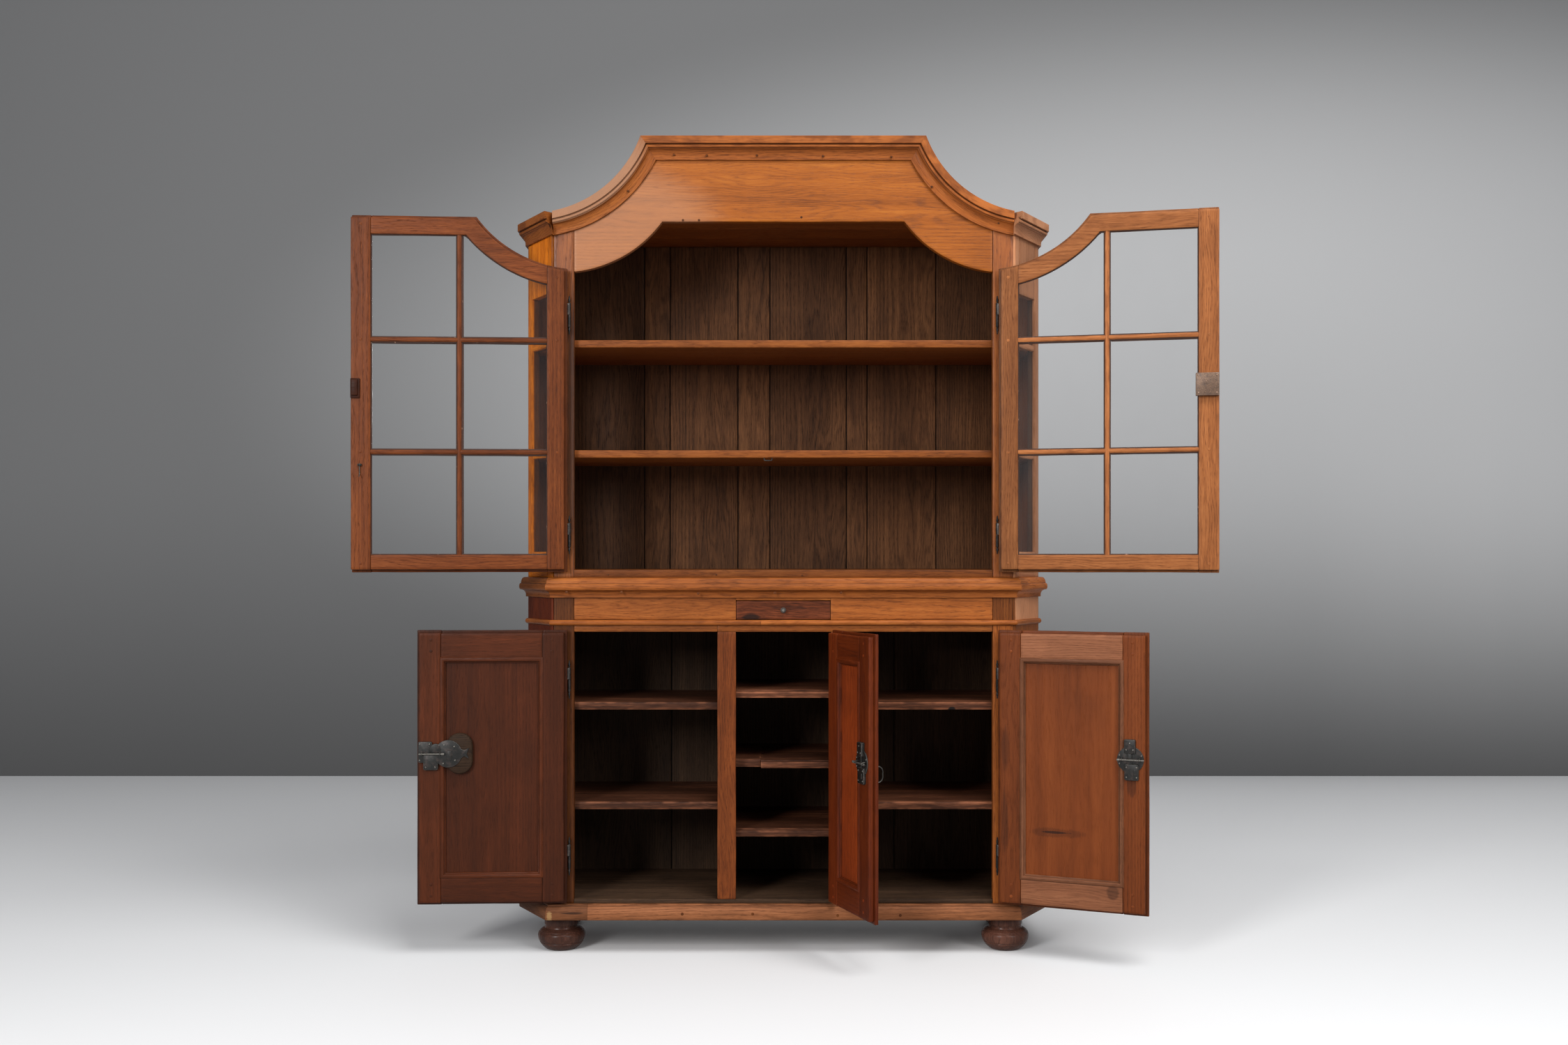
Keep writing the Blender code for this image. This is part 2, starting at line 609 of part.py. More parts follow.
def make_frieze():
    """Frieze rail with its drawer opening, bead, dust board and drawer runners."""
    half = OPENING_HALF - FIT
    frieze = box("frieze_rail", (-half, half), (0.0, FRAME_THICKNESS), (LOWER_TOP, BASE_TOP))
    cut(frieze, box("opening", (-MIDDLE_HALF, MIDDLE_HALF), (-FRAME_THICKNESS, 2 * FRAME_THICKNESS),
                    (DRAWER_BOTTOM, DRAWER_TOP)))
    dust_outline = inside_outline(half, FRAME_THICKNESS / 2)
    join(frieze, plan("dust_board", dust_outline, LOWER_TOP, LOWER_TOP + DUST_BOARD_THICKNESS))
    for sign in (-1.0, 1.0):
        runner_x = sorted((sign * MIDDLE_HALF, sign * (MIDDLE_HALF - RUNNER_WIDTH)))
        join(frieze, box("runner", runner_x, (FRAME_THICKNESS / 2, INSIDE_BACK - FIT),
                         (LOWER_TOP + DUST_BOARD_THICKNESS / 2, DRAWER_BOTTOM)))
    profile = bead_profile()
    bead_half = [CORNER + u * CANT_MITRE - FIT for u, _ in profile]
    loops = [[(sign * half_x, -u, BEAD_BOTTOM + v) for (u, v), half_x in zip(profile, bead_half)]
             for sign in (-1.0, 1.0)]
    bead = lofted("bead", loops)
    tongue = box("tongue", (-half / 2, half / 2), (-BEAD_HEIGHT / 4, FRAME_THICKNESS / 2),
                 (BEAD_BOTTOM + BEAD_HEIGHT / 4, DRAWER_BOTTOM - BEAD_HEIGHT / 4))
    keep(join(frieze, bead, tongue), "honey_oak")


def make_lower_shelves():
    """Two shelves in each outer compartment and three in the middle one."""
    near = PARTITION_FAR + FIT
    for side in ("left", "right"):
        for number, height in enumerate(SIDE_SHELF_HEIGHTS, 1):
            top = FLOOR_TOP + height
            shelf = plan(f"lower_{side}_shelf_{number}", sided(side_outline(near), side),
                         top - SHELF_THICKNESS, top)
            keep(shelf, "inner_oak")
    half = PARTITION_NEAR - FIT
    front = FRAME_THICKNESS + FIT
    for number, height in enumerate(MIDDLE_SHELF_HEIGHTS):
        top = FLOOR_TOP + height
        z = (top - SHELF_THICKNESS, top)
        shelf = box(f"middle_shelf_{number + 1}", (-half, half), (front, INSIDE_BACK - FIT), z)
        if number == NOTCHED_SHELF:
            notch_y = (front - LOCK_NOTCH_DEPTH, front + LOCK_NOTCH_DEPTH)
            notch_end = LOCK_WIDTH + LOCK_NOTCH_CLEARANCE - MIDDLE_HALF
            cut(shelf, box("notch", (-half - LIP, notch_end), notch_y, (z[0] - LIP, z[1] + LIP)))
        keep(shelf, "inner_oak")


def arch_height(x, grow):
    """Height of the upper opening's top edge at x, with the edge moved outwards by grow."""
    if x <= arch_shoulder(grow):
        return ARCH_TOP + grow
    return ARCH_CENTRE_Z - math.sqrt((ARCH_RADIUS - grow)**2 - (ARCH_CENTRE_X - x)**2)


def arch_shoulder(grow):
    """Where the flat of the arch meets its sweep."""
    drop = ARCH_CENTRE_Z - ARCH_TOP - grow
    return ARCH_CENTRE_X - math.sqrt((ARCH_RADIUS - grow)**2 - drop**2)


def arch_points(low_x, high_x, grow):
    """Points along the arch edge of the right half, from the stile inwards."""
    shoulder = arch_shoulder(grow)
    if high_x <= shoulder:
        return [(high_x, ARCH_TOP + grow), (low_x, ARCH_TOP + grow)]
    bend = max(shoulder, low_x)
    points = []
    for i in range(ARC_STEPS + 1):
        x = high_x + (bend - high_x) * i / ARC_STEPS
        points.append((x, arch_height(x, grow)))
    if low_x < shoulder:
        points[-1] = (shoulder, ARCH_TOP + grow)
        points.append((low_x, ARCH_TOP + grow))
    return points


def cornice_x(up):
    """Where the cornice turns from its flat into its sweep, measured up from its lower edge."""
    drop = CORNICE_CENTRE_Z - CORNICE_FLAT - up
    return CORNICE_CENTRE_X - math.sqrt((CORNICE_RADIUS - up)**2 - drop**2)


def cornice_z(x, up):
    """Height of the sweep at x, measured up from the cornice's lower edge."""
    return CORNICE_CENTRE_Z - math.sqrt((CORNICE_RADIUS - up)**2 - (CORNICE_CENTRE_X - x)**2)


def make_arch_board():
    """Shaped board over the doors, sawn to the arch below and to the cornice above."""
    half = OPENING_HALF - FIT
    right = arch_points(0.0, half, 0.0)[:-1]
    top_turn = cornice_x(ARCH_BOARD_COVER)
    upper = []
    for i in range(ARC_STEPS + 1):
        x = top_turn + (half - top_turn) * i / ARC_STEPS
        upper.append((x, cornice_z(x, ARCH_BOARD_COVER)))
    outline = list(reversed(right)) + list(reversed(upper))
    board = face("arch_board", outline + mirrored(outline), 0.0, FRAME_THICKNESS)
    keep(board, "honey_oak")


def make_cornice():
    """Flat middle length, and on each side a sweep with its return along the cant and side."""
    profile = cornice_profile()
    loops = []
    for sign in (-1.0, 1.0):
        loops.append([(sign * (cornice_x(v) - FIT), -u, CORNICE_FLAT + v) for u, v in profile])
    keep(lofted("cornice_centre", loops), "honey_oak")
    end_x = FRONT_HALF
    steepest = math.asin((CORNICE_CENTRE_X - end_x) / (CORNICE_RADIUS - CORNICE_HEIGHT))
    start = math.acos((CORNICE_CENTRE_Z - CORNICE_FLAT) / CORNICE_RADIUS)
    for side in ("left", "right"):
        sign = 1.0 if side == "right" else -1.0
        loops = [[(sign * cornice_x(v), -u, CORNICE_FLAT + v) for u, v in profile]]
        for i in range(1, ARC_STEPS):
            turn = start + (steepest - start) * i / ARC_STEPS
            loops.append([(sign * (CORNICE_CENTRE_X - (CORNICE_RADIUS - v) * math.sin(turn)), -u,
                           CORNICE_CENTRE_Z - (CORNICE_RADIUS - v) * math.cos(turn)) for u, v in profile])
        loops.append([(sign * end_x, -u, cornice_z(end_x, v)) for u, v in profile])
        sweep = lofted("cornice_" + side, loops)
        keep(join(sweep, cornice_return(profile, sign)), "honey_oak")


def cornice_return(profile, sign):
    """Level length of cornice along a cant and side, its front end cut in line with the fascia."""
    turn = CANT_OUT_MITRE
    loops = [[], [], []]
    for out, up in profile:
        along = (-CORNICE_PROJECTION + out * CANT_IN.y) / CANT_ALONG.y
        front = cant_point(along, -out)
        loops[0].append((sign * front.x, front.y, CORNICE_LOW + up))
        loops[1].append((sign * (BODY_HALF + out), CANT_DEPTH - out * turn, CORNICE_LOW + up))
        loops[2].append((sign * (BODY_HALF + out), BODY_DEPTH, CORNICE_LOW + up))
    return lofted("return", loops)


def cant_window(low, high, front, back, grow, sign):
    """Prism through the canted corner, over its window's width plus grow each way."""
    near = CANT_MARGIN - grow
    far = CANT_LENGTH - CANT_MARGIN + grow
    corners = [cant_point(near, front), cant_point(far, front), cant_point(far, back), cant_point(near, back)]
    outline = [(sign * corner.x, corner.y) for corner in corners]
    return plan("window", outline, low, high)


def bar_heights():
    """Heights of the glazing bars, in line with the upper shelves."""
    return [UPPER_BOTTOM + height - SHELF_THICKNESS / 2 for height in UPPER_SHELF_HEIGHTS]


def rows_between(low, high):
    """Window rows between the glazing bars, as (bottom, top) pairs."""
    edges = [low]
    for height in bar_heights():
        edges += [height - GLAZING_BAR / 2, height + GLAZING_BAR / 2]
    edges.append(high)
    return list(zip(edges[::2], edges[1::2]))


def make_upper():
    """Carcase of the upper stage with its arch, cornice, shelves and canted windows."""
    floor_front = OPENING_HALF - FIT
    floor = plan("upper_floor", inside_outline(floor_front, 0.0), BASE_TOP + FIT, UPPER_BOTTOM)
    keep(floor, "honey_oak")
    back_half = BODY_HALF - SIDE_THICKNESS - FIT
    back = box("upper_back", (-back_half, back_half), (INSIDE_BACK, BODY_DEPTH),
               (BASE_TOP + FIT, UPPER_END_TOP))
    keep(back, "inner_oak")
    behind = FRAME_THICKNESS + FIT
    ceiling = [(cant_x(behind, 0.0), behind), (BODY_HALF, CANT_DEPTH), (BODY_HALF, BODY_DEPTH)]
    keep(plan("ceiling_board", ceiling + mirrored(ceiling), UPPER_END_TOP + FIT,
              UPPER_END_TOP + CEILING_THICKNESS), "inner_oak")
    for number, height in enumerate(UPPER_SHELF_HEIGHTS, 1):
        top = UPPER_BOTTOM + height
        half = cant_x(behind, SIDE_THICKNESS + FIT)
        shelf = plan(f"upper_shelf_{number}", inside_outline(half, behind)[1:-1], top - SHELF_THICKNESS, top)
        keep(shelf, "honey_oak")
    for side in ("left", "right"):
        make_upper_end(side, 1.0 if side == "right" else -1.0)
    make_arch_board()
    make_cornice()


def make_upper_end(side, sign):
    """Stile, end boards with a canted window, and the window's glass."""
    stile_x = sorted((sign * OPENING_HALF, sign * FRONT_HALF))
    stile = box("upper_stile_" + side, stile_x, (0.0, FRAME_THICKNESS), (BASE_TOP + FIT, UPPER_END_TOP))
    hinge_slots(stile, sign * side_axis(), UPPER_HINGE_HEIGHTS, UPPER_BOTTOM)
    keep(stile, "honey_oak")
    end = plan("upper_end_" + side, sided(end_outline(), side), BASE_TOP + FIT, UPPER_END_TOP)
    low = UPPER_BOTTOM + CANT_SILL
    high = UPPER_END_TOP - CANT_HEAD
    through = SIDE_THICKNESS + LIP
    for bottom, top in rows_between(low, high):
        cut(end, cant_window(bottom, top, -LIP, through, 0.0, sign))
    cut(end, cant_window(low - GLASS_LAP, high + GLASS_LAP, CANT_BAR_DEPTH, through, GLASS_LAP, sign))
    keep(end, "honey_oak")
    lap = GLASS_LAP - FIT
    front = CANT_BAR_DEPTH + FIT
    glass = cant_window(low - lap, high + lap, front, front + GLASS_THICKNESS, lap, sign)
    glass.name = "cant_glass_" + side
    keep(glass, "glass")


def side_axis():
    """Hinge axis of the outer doors, from the middle of the cabinet."""
    return OPENING_HALF + LIP + AXIS_OUT


def middle_axis():
    return MIDDLE_HALF + LIP + AXIS_OUT


def hinge_empty(name, axis_x, opens):
    """Empty on a door's hinge pins, turned to the door's open angle."""
    pivot = bpy.data.objects.new(name + "_hinge", None)
    pivot.location = (axis_x, HINGE_Y, 0.0)
    pivot.rotation_euler = (0.0, 0.0, opens * math.radians(OPEN_ANGLES[name]))
    pivot.parent = root
    bpy.context.collection.objects.link(pivot)
    return pivot


def lock_on(door, free_edge, inward, height):
    """Lock case on a door's inner face with a channel for its bolt, and the bolt's box."""
    case_x = sorted((free_edge, free_edge + inward * LOCK_WIDTH))
    inner_face = DOOR_BODY_DEPTH
    case = box("case", case_x, (inner_face - PANEL_THICKNESS / 2, LOCK_BACK),
               (height - LOCK_HEIGHT / 2, height + LOCK_HEIGHT / 2))
    join(door, case)
    channel_end = free_edge + inward * (BOLT_LENGTH + DOOR_CLEARANCE + FIT)
    channel_x = sorted((free_edge - inward * LIP, channel_end))
    half = BOLT_HEIGHT / 2
    cut(door, box("channel", channel_x, (BOLT_FRONT - FIT, BOLT_BACK + FIT),
                  (height - half - FIT, height + half + FIT)))
    tip = free_edge + inward * DOOR_CLEARANCE
    bolt_x = sorted((tip, tip + inward * BOLT_LENGTH))
    return box("bolt", bolt_x, (BOLT_FRONT, BOLT_BACK), (height - half, height + half))


def make_lower_door(name, low_x, high_x, hinge_sign):
    """Framed and panelled door that laps over its opening, with its lock, bolt and hinges."""
    axis_x = high_x + LIP + AXIS_OUT if hinge_sign > 0 else low_x - LIP - AXIS_OUT
    hung_edge = high_x + LIP if hinge_sign > 0 else low_x - LIP
    pivot = hinge_empty(name, axis_x, hinge_sign)
    z = (FLOOR_TOP, LOWER_TOP)
    lap_x = (low_x - LIP, high_x + LIP)
    lap_z = (z[0] - LIP, z[1] + LIP)
    door = box(name + "_door", lap_x, (-LIP_THICKNESS, -FIT), lap_z)
    body_x = (low_x + DOOR_CLEARANCE, high_x - DOOR_CLEARANCE)
    body_z = (z[0] + DOOR_CLEARANCE, z[1] - DOOR_CLEARANCE)
    join(door, box("body", body_x, (-LIP_THICKNESS / 2, DOOR_BODY_DEPTH), body_z))
    panel_x = (lap_x[0] + LOWER_STILE, lap_x[1] - LOWER_STILE)
    panel_z = (lap_z[0] + LOWER_RAIL, lap_z[1] - LOWER_RAIL)
    cut(door, box("outer_recess", panel_x, (-2 * LIP_THICKNESS, PANEL_FRONT), panel_z),
        box("inner_recess", panel_x, (PANEL_BACK, 2 * DOOR_BODY_DEPTH), panel_z))
    free_edge = body_x[0] if hinge_sign > 0 else body_x[1]
    bolt = lock_on(door, free_edge, hinge_sign, FLOOR_TOP + LOWER_LOCK_HEIGHT)
    bolt.name = name + "_bolt"
    add_door_eyes(door, axis_x, hung_edge, LOWER_HINGE_HEIGHTS, FLOOR_TOP)
    keep(door, "red_oak", pivot, pivot.location)
    keep(bolt, "iron", pivot, pivot.location)
    for word, height in zip(("bottom", "top"), LOWER_HINGE_HEIGHTS):
        make_hinge(f"{name}_hinge_{word}", axis_x, FLOOR_TOP + height)


def upper_outline(grow, meeting):
    """Right upper door's outline, grown past its opening and stopped at the meeting edge."""
    side_x = OPENING_HALF + grow
    low = UPPER_BOTTOM - grow
    return [(meeting, low), (side_x, low)] + arch_points(meeting, side_x, grow)


def pane_outlines():
    """Window openings of the right upper door: two columns of three, the top ones shaped."""
    inset = LIP - UPPER_STILE
    near = MEETING_GAP / 2 + UPPER_STILE
    far = OPENING_HALF + inset
    middle = (near + far) / 2
    columns = [(near, middle - GLAZING_BAR / 2), (middle + GLAZING_BAR / 2, far)]
    panes = []
    rows = rows_between(UPPER_BOTTOM - LIP + UPPER_RAIL, ARCH_TOP + inset)
    for low_x, high_x in columns:
        for low, high in rows[:-1]:
            panes.append([(low_x, low), (high_x, low), (high_x, high), (low_x, high)])
        low = rows[-1][0]
        panes.append([(low_x, low), (high_x, low)] + arch_points(low_x, high_x, inset))
    return panes


def glass_outline(lap):
    """Sheet of glass behind the right upper door's bars."""
    inset = LIP - UPPER_STILE + lap
    near = MEETING_GAP / 2 + UPPER_STILE - lap
    low = UPPER_BOTTOM - LIP + UPPER_RAIL - lap
    return [(near, low), (OPENING_HALF + inset, low)] + arch_points(near, OPENING_HALF + inset, inset)


def make_upper_door(side):
    """Glazed door with a shaped head, its glass and its hinges."""
    sign = 1.0 if side == "right" else -1.0
    name = "upper_" + side
    axis_x = sign * side_axis()
    pivot = hinge_empty(name, axis_x, sign)
    meeting = MEETING_GAP / 2
    lap = sided(upper_outline(LIP, meeting), side)
    body = sided(upper_outline(-DOOR_CLEARANCE, meeting), side)
    door = face(name + "_door", lap, -LIP_THICKNESS, -FIT)
    join(door, face("body", body, -LIP_THICKNESS / 2, DOOR_BODY_DEPTH))
    for pane in pane_outlines():
        cut(door, face("pane", sided(pane, side), -2 * LIP_THICKNESS, 2 * DOOR_BODY_DEPTH))
    cut(door, face("rebate", sided(glass_outline(GLASS_LAP), side), GLASS_FRONT - FIT, 2 * DOOR_BODY_DEPTH))
    glass = face(name + "_glass", sided(glass_outline(GLASS_LAP - FIT), side), GLASS_FRONT,
                 GLASS_FRONT + GLASS_THICKNESS)
    if side == "right":
        bolt = lock_on(door, meeting, 1.0, UPPER_BOTTOM + UPPER_LOCK_HEIGHT)
        bolt.name = name + "_bolt"
        keep(bolt, "iron", pivot, pivot.location)
    else:
        hook = hook_on(door, -HOOK_INSET, UPPER_BOTTOM + HOOK_HEIGHT)
        keep(hook, "iron", pivot, pivot.location)
    add_door_eyes(door, axis_x, sign * (OPENING_HALF + LIP), UPPER_HINGE_HEIGHTS, UPPER_BOTTOM)
    keep(door, "red_oak", pivot, pivot.location)
    keep(glass, "glass", pivot, pivot.location)
    for word, height in zip(("bottom", "top"), UPPER_HINGE_HEIGHTS):
        make_hinge(f"{name}_hinge_{word}", axis_x, UPPER_BOTTOM + height)


def hook_on(door, x, height):
    """Cabin hook hanging from a pin between two lugs on the door's inner face."""
    pivot_y = DOOR_BODY_DEPTH + HOOK_WIRE
    half = HOOK_WIRE / 2 + FIT
    lug_half = HOOK_WIRE / 2
    for sign in (-1.0, 1.0):
        lug_x = sorted((x + sign * half, x + sign * (half + LUG_THICKNESS)))
        join(door, box("lug", lug_x, (DOOR_BODY_DEPTH - HOOK_WIRE, pivot_y + lug_half),
                       (height - lug_half, height + lug_half)))
    pin_length = 2 * half + LUG_THICKNESS
    pin_start = (x - pin_length / 2, pivot_y, height)
    join(door, rod("pin", HOOK_PIN_RADIUS, pin_start, pin_length, "x", HINGE_SIDES))
    ring = HOOK_PIN_RADIUS + FIT + HOOK_WIRE / 3
    hook = rod("upper_left_hook", ring, (x - HOOK_WIRE / 2, pivot_y, height), HOOK_WIRE, "x", HINGE_SIDES)
    shank_half = HOOK_WIRE / 3
    shank = box("shank", (x - shank_half, x + shank_half), (pivot_y - shank_half, pivot_y + shank_half),
                (height - HOOK_LENGTH, height - HOOK_PIN_RADIUS))
    tip = box("tip", (x - shank_half, x + shank_half), (pivot_y - shank_half, pivot_y + 2 * HOOK_WIRE),
              (height - HOOK_LENGTH, height - HOOK_LENGTH + 2 * shank_half))
    join(hook, shank, tip)
    bore_start = (x - HOOK_WIRE, pivot_y, height)
    return cut(hook, rod("bore", HOOK_PIN_RADIUS + FIT, bore_start, 2 * HOOK_WIRE, "x", HINGE_SIDES))


def make_drawer():
    """Shallow drawer: front, open box on the runners and a small pull."""
    half = MIDDLE_HALF - DRAWER_CLEARANCE
    low = DRAWER_BOTTOM + DRAWER_CLEARANCE
    drawer = box("drawer", (-half, half), (FIT, DRAWER_FRONT_THICKNESS), (low, DRAWER_TOP - DRAWER_CLEARANCE))
    tray_low = DRAWER_BOTTOM + FIT
    side = half - DRAWER_CLEARANCE
    join(drawer, box("tray", (-side, side), (DRAWER_FRONT_THICKNESS / 2, DRAWER_LENGTH),
                     (tray_low, tray_low + DRAWER_SIDE_HEIGHT)))
    inner = side - DRAWER_WALL
    cut(drawer, box("inside", (-inner, inner), (DRAWER_FRONT_THICKNESS, DRAWER_LENGTH - DRAWER_WALL),
                    (tray_low + DRAWER_WALL, tray_low + 2 * DRAWER_SIDE_HEIGHT)))
    middle = (DRAWER_BOTTOM + DRAWER_TOP) / 2
    stem = KNOB_LENGTH + DRAWER_FRONT_THICKNESS / 2
    join(drawer, rod("knob", KNOB_RADIUS, (0.0, -KNOB_LENGTH, middle), stem, "y", HINGE_SIDES))
    slide = bpy.data.objects.new("drawer_slide", None)
    slide.parent = root
    bpy.context.collection.objects.link(slide)
    keep(drawer, "red_oak", slide)


# Mitres of the canted corner: sideways run per metre of projection
CANT_TURN = math.atan2(CANT_DEPTH, BODY_HALF - CORNER)
CANT_MITRE = math.tan(CANT_TURN / 2)
CANT_OUT_MITRE = math.tan((math.pi / 2 - CANT_TURN) / 2)

make_stand()
make_base()
make_upper()
make_drawer()
make_lower_door("lower_left", -OPENING_HALF, -MUNTIN_OUT, -1.0)
make_lower_door("lower_middle", -MIDDLE_HALF, MIDDLE_HALF, 1.0)
make_lower_door("lower_right", MUNTIN_OUT, OPENING_HALF, 1.0)
make_upper_door("left")
make_upper_door("right")
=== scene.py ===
# %% [markdown]
# # Looks for an oak display cabinet with its doors open
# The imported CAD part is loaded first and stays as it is. It says where every board, hinge and lock
# sits, so each piece drawn below takes its place from a CAD node and then stands in for that node.
# Boards could be CAD boxes with a wood picture on them. Here every board is its own small surface
# that also knows which way its grain runs, because that is what makes joinery read as joinery.

import json
import math

import bmesh
import bpy
import numpy as np
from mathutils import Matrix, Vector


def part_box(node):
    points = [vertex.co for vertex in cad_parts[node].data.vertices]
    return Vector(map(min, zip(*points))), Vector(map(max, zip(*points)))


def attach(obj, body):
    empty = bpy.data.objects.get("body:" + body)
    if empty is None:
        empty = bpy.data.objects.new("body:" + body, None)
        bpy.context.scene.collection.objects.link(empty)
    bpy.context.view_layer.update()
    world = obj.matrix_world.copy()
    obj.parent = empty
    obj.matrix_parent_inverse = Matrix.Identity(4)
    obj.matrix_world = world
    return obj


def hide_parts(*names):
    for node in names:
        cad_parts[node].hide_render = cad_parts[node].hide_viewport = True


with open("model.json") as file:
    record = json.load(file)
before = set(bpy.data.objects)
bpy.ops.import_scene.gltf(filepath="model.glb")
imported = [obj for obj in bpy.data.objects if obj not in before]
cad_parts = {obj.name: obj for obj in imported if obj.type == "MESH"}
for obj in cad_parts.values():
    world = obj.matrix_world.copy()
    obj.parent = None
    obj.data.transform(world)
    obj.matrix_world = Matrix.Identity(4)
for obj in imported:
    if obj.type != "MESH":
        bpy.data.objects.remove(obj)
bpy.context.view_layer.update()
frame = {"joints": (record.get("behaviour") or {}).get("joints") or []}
JOINTS = {joint["name"]: joint for joint in frame["joints"]}
X, Y, Z = 0, 1, 2

# %% [markdown]
# The driving sizes come from the boxes of the CAD nodes. Depths are then measured from the front
# face of the stiles, growing towards the back, as a joiner would mark them.


# %% Measure the carcase
def span(node, axis):
    """Lower and upper limit of a CAD node along one axis."""
    low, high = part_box(node)
    return low[axis], high[axis]


def on_side(sign, near, far):
    """Limits of a piece to the left (-1) or right (1) of the middle, in rising order."""
    return tuple(sorted((sign * near, sign * far)))


FRONT, frame_back = span("base_stile_left", Y)
FRAME_DEPTH = frame_back - FRONT
FRONT_HALF, OPENING_HALF = (-value for value in span("base_stile_left", X))
BODY_HALF = -span("upper_end_left", X)[0]
INSIDE_BACK, BACK = (value - FRONT for value in span("base_back", Y))
FOOT_TOP, PLINTH_TOP = span("plinth", Z)
FLOOR_TOP = span("base_floor", Z)[1]
LOWER_TOP, BASE_TOP = span("frieze_rail", Z)
WAIST_BOTTOM = span("waist_moulding", Z)[0]
UPPER_BOTTOM = span("upper_floor", Z)[1]
END_TOP = span("upper_end_left", Z)[1]
CEILING_TOP = span("ceiling_board", Z)[1]
CORNICE_LOW = span("cornice_left", Z)[0]
CORNICE_FLAT, CORNICE_TOP = span("cornice_centre", Z)
CORNICE_OUT = FRONT - span("cornice_centre", Y)[0]
MIDDLE_HALF, MUNTIN_OUT = span("partition_right", X)
DOOR_LAP = FLOOR_TOP - span("lower_left_door", Z)[0]
ARCH_TOP = span("upper_left_door", Z)[1] - DOOR_LAP
CORNER = FRONT_HALF + 0.006  # a narrow edge of the canted board shows beside each stile
CANT_DEPTH = 0.137  # how far back the canted corners reach
SIDE = 0.020  # thickness of the end boards
SIDES = (("left", -1.0), ("right", 1.0))
print(f"carcase {2 * BODY_HALF:.3f} wide, {BACK:.3f} deep, {CORNICE_TOP:.3f} high")

# %% [markdown]
# The photograph is taken level and square to the front, from about four metres, with the horizon a
# little below the middle of the picture. A shift of the sensor gives that without tilting the
# camera, so the uprights stay upright.

# %% Camera
IMAGE_WIDTH, IMAGE_HEIGHT = 2250, 1500
CAMERA_DISTANCE = 3.83  # from the front face of the stiles
CAMERA_HEIGHT = 0.996
HORIZON_ROW = 800
CENTRE_COLUMN = 1124

lens = bpy.data.cameras.new("camera")
lens.lens = 35.0
lens.sensor_width = 36.0
lens.shift_x = (IMAGE_WIDTH / 2 - CENTRE_COLUMN) / IMAGE_WIDTH
lens.shift_y = (HORIZON_ROW - IMAGE_HEIGHT / 2) / IMAGE_WIDTH
camera = bpy.data.objects.new("camera", lens)
camera.location = (0.0, FRONT - CAMERA_DISTANCE, CAMERA_HEIGHT)
camera.rotation_euler = (math.pi / 2, 0.0, 0.0)
bpy.context.scene.collection.objects.link(camera)
bpy.context.scene.camera = camera
bpy.context.scene.view_settings.view_transform = "Standard"
PIXEL = CAMERA_DISTANCE * lens.sensor_width / lens.lens / IMAGE_WIDTH
print(f"one photo pixel is {PIXEL * 1000:.2f} mm on the front face")

# %% [markdown]
# Shader maths is easier to read as arithmetic than as a web of nodes. `Value` wraps one output
# socket and turns Python operators into Math nodes, and `Finish.node` makes every other node.


# %% Shader arithmetic
class Value:
    """One output socket of a shader node, usable in Python arithmetic."""

    def __init__(self, finish, socket):
        self.finish = finish
        self.socket = socket

    def math(self, operation, other=0.0, swapped=False):
        pair = (other, self) if swapped else (self, other)
        return self.finish.node("ShaderNodeMath", {0: pair[0], 1: pair[1]}, operation=operation)

    def __add__(self, other):
        return self.math("ADD", other)

    def __sub__(self, other):
        return self.math("SUBTRACT", other)

    def __rsub__(self, other):
        return self.math("SUBTRACT", other, True)

    def __mul__(self, other):
        return self.math("MULTIPLY", other)

    def __pow__(self, other):
        return self.math("POWER", other)

    __radd__ = __add__
    __rmul__ = __mul__

    def between(self, low, high):
        """0 below low, 1 above high, and a smooth step from one to the other."""
        return self.finish.node("ShaderNodeMapRange", {0: self, 1: low, 2: high},
                                interpolation_type="SMOOTHSTEP")


class Finish:
    """A material built from a Principled shader and the nodes that vary it."""

    def __init__(self, name):
        self.material = bpy.data.materials.new(name)
        self.material.use_nodes = True
        self.tree = self.material.node_tree
        self.tree.nodes.clear()

    def node(self, kind, sockets=None, output=0, **settings):
        """Make a node, set or link its sockets, and give back one output, if it has any."""
        made = self.tree.nodes.new(kind)
        for key, value in settings.items():
            setattr(made, key, value)
        for key, value in (sockets or {}).items():
            if isinstance(value, Value):
                self.tree.links.new(value.socket, made.inputs[key])
            else:
                made.inputs[key].default_value = value
        return Value(self, made.outputs[output]) if len(made.outputs) else None

    def attribute(self, name, output="Fac"):
        return self.node("ShaderNodeAttribute", output=output, attribute_name=name)

    def split(self, vector):
        """The three parts of a vector, as Values."""
        first = self.node("ShaderNodeSeparateXYZ", {0: vector})
        return [Value(self, socket) for socket in first.socket.node.outputs]

    def noise(self, x, y, z, detail=2.0, rough=0.55):
        vector = self.node("ShaderNodeCombineXYZ", {0: x, 1: y, 2: z})
        return self.node("ShaderNodeTexNoise", {"Vector": vector, "Scale": 1.0, "Detail": detail,
                                                "Roughness": rough})

    def mix(self, factor, first, second):
        return self.node("ShaderNodeMix", {0: factor, 6: first, 7: second}, output=2,
                         data_type="RGBA")

    def surface(self, sockets, height=None, strength=0.3, distance=0.001):
        """Principled shader on the given sockets, with a bump from a height value."""
        if height is not None:
            sockets = dict(sockets, Normal=self.node(
                "ShaderNodeBump", {"Strength": strength, "Distance": distance, "Height": height}))
        shader = self.node("ShaderNodeBsdfPrincipled", sockets)
        self.node("ShaderNodeOutputMaterial", {"Surface": shader})
        return self.material


def srgb(red, green, blue):
    """Linear colour of an 8-bit screen colour."""
    channels = np.array([red, green, blue]) / 255.0
    linear = np.where(channels <= 0.04045, channels / 12.92, ((channels + 0.055) / 1.055) ** 2.4)
    return (*(float(value) for value in linear), 1.0)


